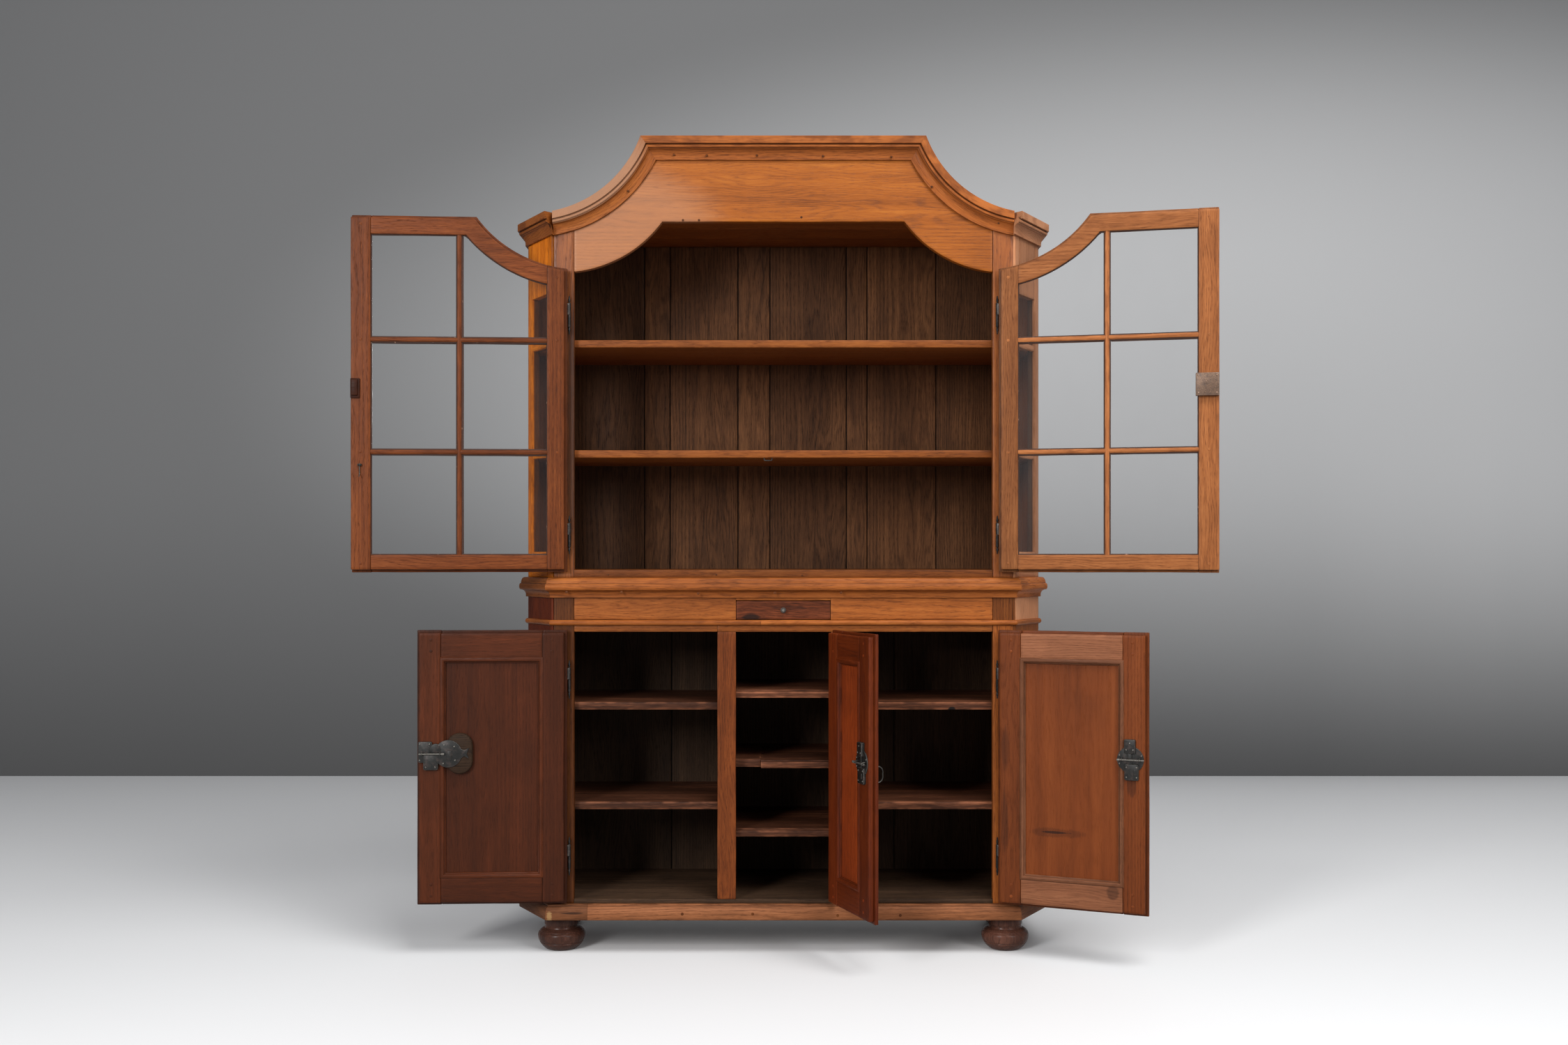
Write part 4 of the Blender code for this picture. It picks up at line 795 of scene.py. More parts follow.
# %% Feet
BUN_MIDDLE = 0.036  # height of its widest place
BUN_ABOVE, BUN_BELOW = 0.026, 0.047  # half heights of the two ellipses
BUN_ARC = (-48.0, 44.0)  # degrees of them that are used
FOOT_RADIUS, FOOT_BASE, COLLAR_RADIUS = 0.060, 0.040, 0.0435
COLLAR_LOW = 0.062
SCORED_LINES, SCORE_DEPTH, SCORE_WIDTH = (0.0195, 0.0455), 0.0012, 0.0006


def foot_profile():
    """Two half ellipses for the bun, with two narrow bell-shaped grooves, a neck and a collar."""
    turn = np.radians(np.linspace(*BUN_ARC, 48))
    half = np.where(turn < 0.0, BUN_BELOW, BUN_ABOVE)
    radius, height = FOOT_RADIUS * np.cos(turn), BUN_MIDDLE + half * np.sin(turn)
    for line in SCORED_LINES:
        radius = radius - SCORE_DEPTH * np.exp(-((height - line) / SCORE_WIDTH) ** 2)
    base = [(FOOT_BASE - 0.004, 0.0), (FOOT_BASE - 0.001, 0.0004)]
    neck = [(COLLAR_RADIUS - 0.002, COLLAR_LOW - 0.004),
            (COLLAR_RADIUS - 0.0022, COLLAR_LOW - 0.001)]
    collar = [(COLLAR_RADIUS - 0.0005, COLLAR_LOW), (COLLAR_RADIUS, COLLAR_LOW + 0.0015),
              (COLLAR_RADIUS, FOOT_TOP - 0.0015), (COLLAR_RADIUS - 0.001, FOOT_TOP - 0.0003)]
    return np.concatenate([base, np.stack([radius, height], axis=-1), neck, collar])


for corner in ("front_left", "front_right", "rear_left", "rear_right"):
    node = "foot_" + corner
    middle = [sum(span(node, axis)) / 2 for axis in (X, Y)]
    foot = Shape()
    turned(foot, foot_profile(), (middle[0], middle[1] - FRONT, 0.0), steps=48,
           tone=1.25 if "right" in corner else 0.95)
    foot.make("turned_" + node, EBONY, "carcase", "dark_oak", node)
print("feet: 4")

# %% [markdown]
# The plinth is one rounded moulding, planed in lengths and mitred at the canted corners. The left
# end of its front is an old repair, darker and with a visible joint, a pale break and a strip let
# in.

# %% Plinth
BODY_PATH = np.array([(-BODY_HALF, BACK), (-BODY_HALF, CANT_DEPTH), (-CORNER, 0.0),
                      (CORNER, 0.0), (BODY_HALF, CANT_DEPTH), (BODY_HALF, BACK)])
FRONT_LENGTH = 2  # the front is the path's third length
JOINT = 0.0002  # hairline between two lengths of moulding
PLINTH_OUT = span("plinth", X)[1] - BODY_HALF
PLINTH_HEIGHT = PLINTH_TOP - FOOT_TOP
PLINTH_BEARING = 0.100  # how far it reaches in under the carcase
PLINTH_REPAIR_END = -0.490  # where the repaired length of the front stops


def mitres(path):
    """Outward direction at each corner of a path, longer where the corner is sharper."""
    run = unit(np.diff(path, axis=0))
    normal = np.stack([run[:, 1], -run[:, 0]], axis=-1)
    before, after = np.vstack([normal[:1], normal]), np.vstack([normal, normal[-1:]])
    return (before + after) / (1.0 + (before * after).sum(axis=1))[:, None]


def band(shape, profile, base, tones, front_joints=()):
    """Lengths of one moulding round the carcase, from the left side's back to the right side's.

    A jointed front has one tone for each of its lengths.
    """
    outs = mitres(BODY_PATH)
    up = (0.0, 0.0, 1.0)
    for i, tone in enumerate(tones):
        ends = [(BODY_PATH[i], outs[i]), (BODY_PATH[i + 1], outs[i + 1])]
        joints = front_joints if i == FRONT_LENGTH else ()
        cuts = [(np.array([x, 0.0]), np.array([0.0, -1.0])) for x in joints]
        stops = [ends[0]] + [stop for stop in cuts for _ in (0, 1)] + [ends[1]]
        run = (ends[1][0] - ends[0][0]) / np.linalg.norm(ends[1][0] - ends[0][0])
        lengths = list(zip(stops[::2], stops[1::2]))
        for shade, (start, stop) in zip(np.broadcast_to(tone, len(lengths)), lengths):
            origins = [(*(start[0] + run * JOINT), base), (*(stop[0] - run * JOINT), base)]
            carried(shape, profile, origins, [(*start[1], 0.0), (*stop[1], 0.0)], [up, up],
                    vary(shade))


def plinth_profile():
    """Flat foot, long quarter ellipse and top fillet, from the inner edge under the carcase."""
    fillet_out = 0.55 * PLINTH_OUT
    round_low, round_high = 0.22 * PLINTH_HEIGHT, 0.90 * PLINTH_HEIGHT
    radii = (PLINTH_OUT - fillet_out, round_high - round_low)
    ovolo = curve((fillet_out, round_low), radii, 0, 90, 12)
    foot = [(-PLINTH_BEARING, 0.0), (PLINTH_OUT - 0.002, 0.0), (PLINTH_OUT, 0.002)]
    top = [(fillet_out, PLINTH_HEIGHT), (-PLINTH_BEARING, PLINTH_HEIGHT)]
    return softened(np.concatenate([foot, ovolo, top]), 0.0008)


CHIP = ((-0.585, FRONT - 0.014, 0.098), (0.009, 0.030, 0.018), 0.8)  # pale break at the left corner
INLAY = ((-0.527, FRONT - 0.018, 0.106), (0.036, 0.030, 0.0035), 0.7)  # dark strip let in beside it
PLINTH_OAK = oak("plinth oak", srgb(176, 113, 74), srgb(140, 86, 53), srgb(78, 45, 27), 0.55,
                 figure=1.2, stains=[INLAY], chips=[CHIP])
plinth = Shape()
band(plinth, plinth_profile(), FOOT_TOP, [0.8, 0.42, (0.60, 0.94), 0.95, 0.8], [PLINTH_REPAIR_END])
plinth.make("plinth_lengths", PLINTH_OAK, "carcase", "honey_oak", "plinth")
print(f"plinth stands {PLINTH_OUT * 1000:.0f} mm proud")

# %% [markdown]
# Both stages are boxes of the same boards: two side boards, a narrow strip beside each canted
# corner, back boards with open seams and a floor notched round the stiles. These helpers draw them
# for either.

# %% Carcase helpers
SEAM_GAP = 0.0009  # half the open seam between two back boards
STRIP_HALF, STRIP_SUNK, STRIP_SHADE_TONE = 0.009, 0.004, 0.12  # painted shade: a near-black strip behind such a seam
SIDE_SEAM = 0.52  # where the seam of an end lies, as a share of its side's depth
FLOOR_SEAM = 0.215
RAIL_HALF = OPENING_HALF - JOINT  # half a board between the stiles
INSIDE_HALF = BODY_HALF - SIDE - JOINT  # half a board between the ends
STILE_BREAK = 1e-4  # sections this close on both sides of a stile make its notch square


def side_boards(shape, sign, low, high, tone):
    """Two upright boards of one end, with a seam half way."""
    seam = CANT_DEPTH + SIDE_SEAM * (BACK - CANT_DEPTH)
    for depth in ((CANT_DEPTH, seam), (seam, BACK)):
        board(shape, on_side(sign, BODY_HALF - SIDE, BODY_HALF), depth, (low, high), Z, vary(tone))


def corner_strip(shape, sign, low, high, tone):
    """Narrow edge between a stile and the canted corner."""
    strip = on_side(sign, FRONT_HALF + JOINT, CORNER)
    board(shape, strip, (0.0, SIDE), (low, high), Z, tone, arris=0.001)


def back_boards(shape, seams, low, high, tones):
    """Upright boards with open seams, and a strip behind each seam, dark as painted shade."""
    edges = [-INSIDE_HALF, *seams, INSIDE_HALF]
    for left, right, tone in zip(edges, edges[1:], tones):
        board(shape, (left + SEAM_GAP, right - SEAM_GAP), (INSIDE_BACK, BACK), (low, high), Z, tone,
              arris=0.002)
    sunk = (INSIDE_BACK + STRIP_SUNK, BACK - STRIP_SUNK)
    for seam in seams:
        board(shape, (seam - STRIP_HALF, seam + STRIP_HALF), sunk, (low, high), Z, STRIP_SHADE_TONE)


def inside_edge(front):
    """Front edge of a board inside the carcase: level behind the stiles, then along the cant."""
    def edge(x):
        behind = np.maximum(FRAME_DEPTH + JOINT, cant_depth(x, SIDE))
        return np.where(np.abs(x) < RAIL_HALF, front, behind)
    return edge


def floor_boards(shape, low, high, tone):
    """Two boards across the carcase, the front one notched round the stiles."""
    ends = (-INSIDE_HALF, INSIDE_HALF)
    breaks = [side * (RAIL_HALF + gap) for side in (-1, 1) for gap in (-STILE_BREAK, STILE_BREAK)]
    board(shape, ends, (0.0, FLOOR_SEAM), (low, high), X, vary(tone), breaks=breaks, steps=40,
          edges=(inside_edge(0.0), level_edge(FLOOR_SEAM)))
    board(shape, ends, (FLOOR_SEAM, INSIDE_BACK), (low, high), X, vary(tone))


print(f"inside: {2 * INSIDE_HALF:.3f} wide, {INSIDE_BACK:.3f} deep")

# %% [markdown]
# The lower stage is a frame of stiles and muntins in front of plain boards. Its canted boards and
# stiles have one tone below the bead and another above it. On the left the end, canted board and
# stile are dark as painted shade; on the right the canted board above the bead is a painted sheen.

# %% Lower stage
LOWER_SEAMS = (-0.308, 0.305)  # seams of the back boards, from the middle
RAIL_HEIGHT, BEAD_HEIGHT, DRAWER_HEIGHT = 0.0158, 0.014, 0.049
BEAD_LOW = LOWER_TOP + RAIL_HEIGHT
DRAWER_LOW = BEAD_LOW + BEAD_HEIGHT
DRAWER_HIGH = DRAWER_LOW + DRAWER_HEIGHT
CANT_SEAM = BEAD_LOW + BEAD_HEIGHT / 2  # hidden by the bead
BELOW_BEAD, ABOVE_BEAD = (PLINTH_TOP, CANT_SEAM), (CANT_SEAM, BASE_TOP)
PARTITION_IN = 0.0145  # how far a partition's faces stand in from those of its muntin

base_back = Shape()
back_boards(base_back, LOWER_SEAMS, PLINTH_TOP, BASE_TOP, (0.75, 0.9, 1.0))
base_back.make("base_back_boards", DUSK, "carcase", "inner_oak", "base_back")
base_floor = Shape()
floor_boards(base_floor, PLINTH_TOP, FLOOR_TOP, 1.08)
base_floor.make("base_floor_boards", DUSK, "carcase", "inner_oak", "base_floor")
for side, sign in SIDES:
    left = sign < 0
    # painted shade: the left end and canted boards take the dark cherry oak
    finish = CHERRY if left else HONEY
    end = Shape()
    side_boards(end, sign, PLINTH_TOP, BASE_TOP, 0.7)
    end.make("base_end_boards_" + side, finish, "carcase", "honey_oak", "base_end_" + side)
    cant, frieze_cant = Shape(), Shape()
    corner_strip(cant, sign, PLINTH_TOP, BASE_TOP, 0.5)
    for shape, heights, tone in ((cant, BELOW_BEAD, 0.5 if left else 0.8),
                                 (frieze_cant, ABOVE_BEAD, 0.5 if left else 0.95)):
        board(shape, (0.0, CANT_LENGTH), (0.0, SIDE), heights, Z, tone, place=canted(sign))
    cant.make("base_cant_board_" + side, finish, "carcase", "honey_oak")
    # painted sheen: the right canted board above the bead takes the pale oak
    frieze_cant.make("frieze_cant_board_" + side, CHERRY if left else PAINTED_SHEEN_OAK, "carcase", "honey_oak")
    stile = Shape()
    # painted shadow: the left stile is toned dark, as in the shadow of its open door
    for heights, tone in zip((BELOW_BEAD, ABOVE_BEAD), (0.28, 0.28) if left else (1.08, 0.50)):
        board(stile, on_side(sign, OPENING_HALF, FRONT_HALF), (0.0, FRAME_DEPTH), heights, Z, tone)
    stile.make("base_stile_board_" + side, HONEY, "carcase", "honey_oak", "base_stile_" + side)
    muntin = Shape()
    board(muntin, on_side(sign, MIDDLE_HALF, MUNTIN_OUT), (0.0, FRAME_DEPTH),
          (FLOOR_TOP, LOWER_TOP), Z, vary(1.32))
    board(muntin, on_side(sign, MIDDLE_HALF + PARTITION_IN, MUNTIN_OUT - PARTITION_IN),
          (FRAME_DEPTH, INSIDE_BACK), (FLOOR_TOP, LOWER_TOP), Z, vary(0.6), arris=0.001)
    muntin.make("partition_boards_" + side, RUSSET, "carcase", "honey_oak", "partition_" + side)
print("lower stage: floor, back, ends, stiles and partitions")

# %% [markdown]
# Above the lower doors come a head rail, a half-round bead, the frieze with its small drawer and
# the waist moulding that carries the upper stage.

# %% Frieze, bead and waist
BEAD_SPLIT = -0.056  # the bead is in two lengths
HEAD_JOINT = -MUNTIN_OUT  # a joint of the head rail, over the left muntin
RUNNER, DUST_BOARD = 0.025, 0.018  # width of a drawer runner, thickness of the board under it
BEAD_SEAT = 0.002  # how far the board behind the bead stands back
BACK_IN = -0.004  # the flat back of a moulding, just inside the wood behind it
WAIST_OUT = span("waist_moulding", X)[1] - BODY_HALF
WAIST_HEIGHT = BASE_TOP - WAIST_BOTTOM


def bead_profile():
    """Half round on a flat back."""
    half = BEAD_HEIGHT / 2
    return softened(np.concatenate([
        [(BACK_IN, 0.0), (0.0, 0.0)], curve((0.0003, half), (half, half), -80, 80, 10),
        [(0.0, BEAD_HEIGHT), (BACK_IN, BEAD_HEIGHT)]]), 0.0004)


def waist_profile():
    """Cove, bead and long quarter round, from the lower edge up."""
    neck, cove_up = 0.25 * WAIST_OUT, 0.10 * WAIST_HEIGHT
    shelf_out, shelf_up = 0.84 * WAIST_OUT, 0.37 * WAIST_HEIGHT
    bead_up = 0.69 * WAIST_HEIGHT
    shoulder_out, top_out = 0.80 * WAIST_OUT, 0.38 * WAIST_OUT
    bead_middle = (shelf_up + bead_up) / 2
    return softened(np.concatenate([
        [(BACK_IN, 0.0), (neck, 0.0)],
        curve((shelf_out, cove_up), (shelf_out - neck, shelf_up - cove_up), 180, 90, 8),
        curve((shelf_out, bead_middle), (WAIST_OUT - shelf_out, bead_up - bead_middle), -75, 90, 8),
        curve((top_out, bead_up), (shoulder_out - top_out, WAIST_HEIGHT - bead_up), 0, 90, 8),
        [(BACK_IN, WAIST_HEIGHT)]]), 0.0005)


frieze = Shape()
rail_depth, inner_depth = (0.0, FRAME_DEPTH), (FRAME_DEPTH, INSIDE_BACK)
dust_top = LOWER_TOP + DUST_BOARD
board(frieze, (-RAIL_HALF, HEAD_JOINT), rail_depth, (LOWER_TOP, BEAD_LOW), X, 0.66)
board(frieze, (HEAD_JOINT, RAIL_HALF), rail_depth, (LOWER_TOP, BEAD_LOW), X, 0.72)
board(frieze, (-RAIL_HALF, RAIL_HALF), (BEAD_SEAT, FRAME_DEPTH), (BEAD_LOW, DRAWER_LOW), X, 0.7)
for _, sign in SIDES:
    board(frieze, on_side(sign, MIDDLE_HALF, RAIL_HALF), rail_depth, (DRAWER_LOW, BASE_TOP), X,
          0.98 + 0.09 * sign)
    board(frieze, on_side(sign, MIDDLE_HALF - RUNNER, MIDDLE_HALF), inner_depth,
          (dust_top, DRAWER_LOW), Y, 0.6)
board(frieze, (-MIDDLE_HALF, MIDDLE_HALF), rail_depth, (DRAWER_HIGH, BASE_TOP), X, 1.0)
board(frieze, (-INSIDE_HALF, INSIDE_HALF), inner_depth, (LOWER_TOP, dust_top), X, 0.5, steps=40,
      edges=(inside_edge(FRAME_DEPTH), level_edge(INSIDE_BACK)))
band(frieze, bead_profile(), BEAD_LOW, [0.9, 0.95, 1.0, 0.95, 0.9], [BEAD_SPLIT])
frieze.make("frieze_boards", HONEY, "carcase", "honey_oak", "frieze_rail")
waist = Shape()
band(waist, waist_profile(), WAIST_BOTTOM, [0.9, 0.62, 1.0, 1.5, 0.9])
waist.make("waist_lengths", HONEY, "carcase", "honey_oak", "waist_moulding")
print("frieze with its drawer opening, bead and waist")

# %% [markdown]
# Shelves are boards with a rounded front edge. The middle ones carry a shallow step along the front
# edge, and the second is cut away at its left end, where the lock of the closed door comes in.

# %% Shelves
MIDDLE_SHELF_TONES = (1.05, 1.08, 1.42)  # from the bottom up
NOTCHED, NOTCH_WIDTH, NOTCH_DEPTH = 2, 0.062, 0.022  # which shelf is cut for the lock, and how far
STEP_BACK, STEP_LOW, STEP_UNDER = 0.007, 0.004, 0.005  # of the step along a front edge
NICK = ((0.426, FRONT + FRAME_DEPTH, span("lower_right_shelf_2", Z)[0]), (0.011, 0.02, 0.008), 1.0)
# painted highlight, partly wear: the front edges are lightened strongly, as lit edges above tops in
# shade
SHELF_OAK = oak("lower shelf oak", srgb(150, 93, 64), srgb(70, 40, 26), srgb(42, 23, 15), 0.5,
                figure=1.1, stains=[NICK], rub=0.9)


def plain_shelf(node, finish, slot, tone):
    """Shelf whose front edge follows the inside of the carcase."""
    front, back = (value - FRONT for value in span(node, Y))
    shelf = Shape()
    board(shelf, span(node, X), (FRAME_DEPTH, INSIDE_BACK), span(node, Z), X, tone, arris=0.003,
          steps=40, edges=(inside_edge(front), level_edge(back)))
    shelf.make(node + "_board", finish, "carcase", slot, node)


for side, tone in (("left", 0.78), ("right", 1.15)):
    for number in (1, 2):
        plain_shelf(f"lower_{side}_shelf_{number}", SHELF_OAK, "inner_oak", tone)
for number, tone in enumerate(MIDDLE_SHELF_TONES, 1):
    node = f"middle_shelf_{number}"
    (left, right), (low, high) = span(node, X), span(node, Z)
    shelf = Shape()
    start = left
    if number == NOTCHED:
        start = NOTCH_WIDTH - MIDDLE_HALF
        board(shelf, (left, start), (FRAME_DEPTH + NOTCH_DEPTH, INSIDE_BACK), (low, high), X,
              0.9 * tone)
    board(shelf, (start, right), (FRAME_DEPTH + JOINT, INSIDE_BACK), (low, high - STEP_LOW), X,
          tone, arris=0.002)
    board(shelf, (start, right), (FRAME_DEPTH + STEP_BACK, INSIDE_BACK), (high - STEP_UNDER, high),
          X, 0.7 * tone, arris=0.001)
    shelf.make(node + "_board", SHELF_OAK, "carcase", "inner_oak", node)
for number in (1, 2):
    plain_shelf(f"upper_shelf_{number}", HONEY, "honey_oak", vary(0.70))
print("shelves: 4 + 3 + 2")

# %% [markdown]
# The upper stage stands on its own floor. Its back is made of wide and narrow boards in turn, and
# three boards close it above.

# %% Upper back, floor and ceiling
UPPER_SEAMS = (-0.383, -0.312, -0.125, -0.037, 0.174, 0.231, 0.421)
CEILING_SEAMS = (FRAME_DEPTH, 0.14, 0.27, BACK)
LEAST_WIDTH = 0.002  # where the canted corner cuts a ceiling board to nothing

upper_back = Shape()
back_boards(upper_back, UPPER_SEAMS, BASE_TOP, END_TOP,
            (0.62, 0.92, 1.15, 1.2, 0.95, 1.15, 1.35, 1.05))
upper_back.make("upper_back_boards", INNER, "carcase", "inner_oak", "upper_back")
upper_floor = Shape()
floor_boards(upper_floor, BASE_TOP, UPPER_BOTTOM, 0.48)
upper_floor.make("upper_floor_boards", HONEY, "carcase", "honey_oak", "upper_floor")
ceiling = Shape()
for front, back in zip(CEILING_SEAMS, CEILING_SEAMS[1:]):
    limits = front, back - LEAST_WIDTH
    board(ceiling, (-BODY_HALF, BODY_HALF), (front, back), (END_TOP, CEILING_TOP), X, vary(0.85),
          steps=50,
          edges=(lambda x, limits=limits: np.clip(cant_depth(x, 0.0), *limits), level_edge(back)))
ceiling.make("ceiling_boards", HONEY, "carcase", "inner_oak", "ceiling_board")
print("upper stage: back, floor and ceiling")

# %% [markdown]
# Each canted corner of the upper stage is a narrow window with two glazing bars in line with the
# shelves, and dark linings inside that are painted shade. The left stile carries a painted shadow
# of its open door along its inner edge.

# %% Canted windows and upper stiles
CANT_MARGIN = 0.026
CANT_LINING, LINING_FRONT, LINING_SHADE_TONE = 0.0006, 0.006, 0.16  # painted shade: dark linings inside the windows
CANT_SILL = UPPER_BOTTOM + 0.046
CANT_HEAD = END_TOP - 0.191
CANT_BAR, CANT_PANE = (0.001, 0.012), (0.0032, 0.0057)  # depths of their two faces
CANT_TUCK = 0.004  # how far a pane's edges run into the wood
BAR = 0.0175  # width of a glazing bar
BAR_HEIGHTS = [sum(span(f"upper_shelf_{number}", Z)) / 2 for number in (1, 2)]


def cant_frame(shape, sign, tone, head_tone):
    """Two stiles, sill and head of a canted window, with glazing bars in line with the shelves."""
    place = canted(sign)
    far = CANT_LENGTH - CANT_MARGIN
    for along in ((0.0, CANT_MARGIN), (far, CANT_LENGTH)):
        board(shape, along, (0.0, SIDE), (BASE_TOP, END_TOP), Z, vary(tone), place=place)
    board(shape, (CANT_MARGIN, far), (0.0, SIDE), (BASE_TOP, CANT_SILL), X, vary(tone), place=place)
    board(shape, (CANT_MARGIN, far), (0.0, SIDE), (CANT_HEAD, END_TOP), Z, vary(head_tone),
          place=place)
    for height in BAR_HEIGHTS:
        board(shape, (CANT_MARGIN, far), CANT_BAR, (height - BAR / 2, height + BAR / 2), X,
              vary(tone), arris=0.004, place=place)
    for edge in (CANT_MARGIN, far - CANT_LINING):
        board(shape, (edge, edge + CANT_LINING), (LINING_FRONT, SIDE), (CANT_SILL, CANT_HEAD), Z,
              LINING_SHADE_TONE, arris=0.0002, place=place)


def cant_panes(shape, sign):
    """Three panes of a canted window, one above the other."""
    edges = [CANT_SILL, *(height + step for height in BAR_HEIGHTS for step in (-BAR / 2, BAR / 2)),
             CANT_HEAD]
    for low, high in zip(edges[::2], edges[1::2]):
        board(shape, (CANT_MARGIN - CANT_TUCK, CANT_LENGTH - CANT_MARGIN + CANT_TUCK), CANT_PANE,
              (low - CANT_TUCK, high + CANT_TUCK), Z, arris=0.0005, place=canted(sign))


DOOR_SHADOW = ((-OPENING_HALF, FRONT, UPPER_BOTTOM + 0.33), (0.030, 0.040, 0.42), 0.72)  # painted shadow of the open door
STILE_OAK = oak("upper stile oak", srgb(175, 103, 47), srgb(145, 79, 33), srgb(90, 44, 17), 0.42,
                figure=1.4, stains=[DOOR_SHADOW], sheen=0.3)
for side, sign in SIDES:
    end = Shape()
    side_boards(end, sign, BASE_TOP, END_TOP, 0.6)
    end.make("upper_end_boards_" + side, HONEY, "carcase", "honey_oak", "upper_end_" + side)
    cant = Shape()
    left = sign < 0
    corner_strip(cant, sign, BASE_TOP, END_TOP, 0.38 if left else 0.8)
    cant_frame(cant, sign, *((0.82, 0.98) if left else (0.66, 0.54)))
    # painted sheen: the right window's frame takes the pale oak
    cant.make("upper_cant_frame_" + side, AMBER if left else PAINTED_SHEEN_OAK, "carcase", "honey_oak")
    panes = Shape()
    cant_panes(panes, sign)
    panes.make("cant_panes_" + side, CORNER_GLASS, "carcase", "glass", "cant_glass_" + side)
    stile = Shape()
    board(stile, on_side(sign, OPENING_HALF, FRONT_HALF), (0.0, FRAME_DEPTH), (BASE_TOP, END_TOP),
          Z, 0.78 if left else 0.95)
    stile.make("upper_stile_board_" + side, STILE_OAK, "carcase", "honey_oak",
               "upper_stile_" + side)
print("upper stage: ends with their windows, and stiles")

# %% [markdown]
# The arch and the cornice follow two arcs of circles on each side of a flat middle. The board
# between them is one wide plank with its grain lying level, sawn to both lines.

# %% Arch board
ARCH_RADIUS, ARCH_CENTRE_X = 0.3165, OPENING_HALF + 0.0325
SPRING = ARCH_TOP - 0.126
ARCH_CENTRE_Z = SPRING + math.sqrt(ARCH_RADIUS**2 - (ARCH_CENTRE_X - OPENING_HALF) ** 2)
CORNICE_RADIUS, CORNICE_CENTRE_X = 0.350, FRONT_HALF + 0.056
CORNICE_CENTRE_Z = CORNICE_LOW + math.sqrt(CORNICE_RADIUS**2 - (CORNICE_CENTRE_X - FRONT_HALF) ** 2)
CORNICE_HEIGHT = CORNICE_TOP - CORNICE_FLAT
ARCH_COVER = 0.045  # how far the arch board runs up behind the cornice
ARCH_LOG = np.array([3.1, 0.02, 0.07])  # a place in the log with a calm figure


def arch_line(x, grow):
    """Upper edge of the opening, moved outwards by grow: a level line, then a hollow arc."""
    away = np.maximum(ARCH_CENTRE_X - np.abs(x), 0.0)
    reach = (ARCH_RADIUS - grow) ** 2 - away**2
    arc = ARCH_CENTRE_Z - np.sqrt(np.maximum(reach, 0.0))
    return np.minimum(arc, ARCH_TOP + grow)


def arch_shoulder(grow):
    """Where the level middle of that line turns into its arc."""
    drop = ARCH_CENTRE_Z - ARCH_TOP - grow
    return ARCH_CENTRE_X - math.sqrt((ARCH_RADIUS - grow) ** 2 - drop**2)


def sweep_line(x, up):
    """Height of the cornice's sweep, measured up from its lower edge."""
    away = np.maximum(CORNICE_CENTRE_X - np.abs(x), 0.0)
    return CORNICE_CENTRE_Z - np.sqrt(np.maximum((CORNICE_RADIUS - up) ** 2 - away**2, 0.0))


def sweep_start(up):
    """Where the level middle of the cornice turns into its sweep."""
    drop = CORNICE_CENTRE_Z - CORNICE_FLAT - up
    return CORNICE_CENTRE_X - np.sqrt((CORNICE_RADIUS - up) ** 2 - drop**2)


arch = Shape()
shoulder = arch_shoulder(0.0)
upper_shoulder = float(sweep_start(ARCH_COVER))
arch_high = CORNICE_FLAT + ARCH_COVER
board(arch, (-RAIL_HALF, RAIL_HALF), (0.0, FRAME_DEPTH), (SPRING, arch_high), X, 1.0, arris=0.0022,
      steps=90,
      edges=(lambda x: arch_line(x, 0.0),
             lambda x: np.minimum(sweep_line(x, ARCH_COVER), arch_high)),
      breaks=(-shoulder, shoulder, -upper_shoulder, upper_shoulder), log=ARCH_LOG)
arch.make("arch_plank", GOLDEN, "carcase", "honey_oak", "arch_board")
print(f"arch: level for {2 * shoulder:.2f} m in the middle")

# %% [markdown]
# The cornice is one moulding in seven lengths: a level middle, two sweeps, and two returns of two
# lengths each along the canted corners and the sides. On the sweeps every point of the profile
# keeps its own radius about the same centre.

# %% Cornice profile
CORNICE_IN = -0.003  # the flat back of the moulding


def cornice_profile():
    """Lip, cove, fillet, groove, bead and fascia, from the lower edge up."""
    lip_out, lip_up = 0.25 * CORNICE_OUT, 0.06 * CORNICE_HEIGHT
    cove_out, cove_up = 0.70 * CORNICE_OUT, 0.46 * CORNICE_HEIGHT
    groove = 0.035 * CORNICE_HEIGHT
    bead_low, bead_high = cove_up + groove, 0.63 * CORNICE_HEIGHT
    bead_middle = (bead_low + bead_high) / 2
    bead_out, bead_round, groove_out = 0.74 * CORNICE_OUT, 0.12 * CORNICE_OUT, 0.76 * CORNICE_OUT
    fascia_up = bead_high + groove
    return softened(np.concatenate([
        [(CORNICE_IN, 0.0), (lip_out, 0.0)],
        curve((cove_out, lip_up), (cove_out - lip_out, cove_up - lip_up), 180, 90, 8),
        [(cove_out, bead_low)],
        curve((bead_out, bead_middle), (bead_round, (bead_high - bead_low) / 2), -80, 80, 6),
        [(groove_out, bead_high), (groove_out, fascia_up), (CORNICE_OUT, fascia_up),
         (CORNICE_OUT, CORNICE_HEIGHT), (CORNICE_IN, CORNICE_HEIGHT)]]), 0.0007)


CORNICE_PROFILE = cornice_profile()


def cornice_skin(shape, x, out, height, tone):
    """Grid of a cornice length from arrays of x, projection and height, with its figure along x."""
    grid = np.stack(np.broadcast_arrays(x, -out, height), axis=-1)
    steps = np.linalg.norm(np.diff(grid[:, :1], axis=0), axis=-1)
    along = np.concatenate([np.zeros((1, 1)), np.cumsum(steps, axis=0)])
    profile_up = CORNICE_PROFILE[:, 1] * np.ones_like(along)
    figure = np.stack([along * np.ones_like(profile_up), profile_up, out * np.ones_like(along)],
                      axis=-1)
    shape.skin(standing(grid), figure + log_place(), profile_wear_and_shade(CORNICE_PROFILE), tone)


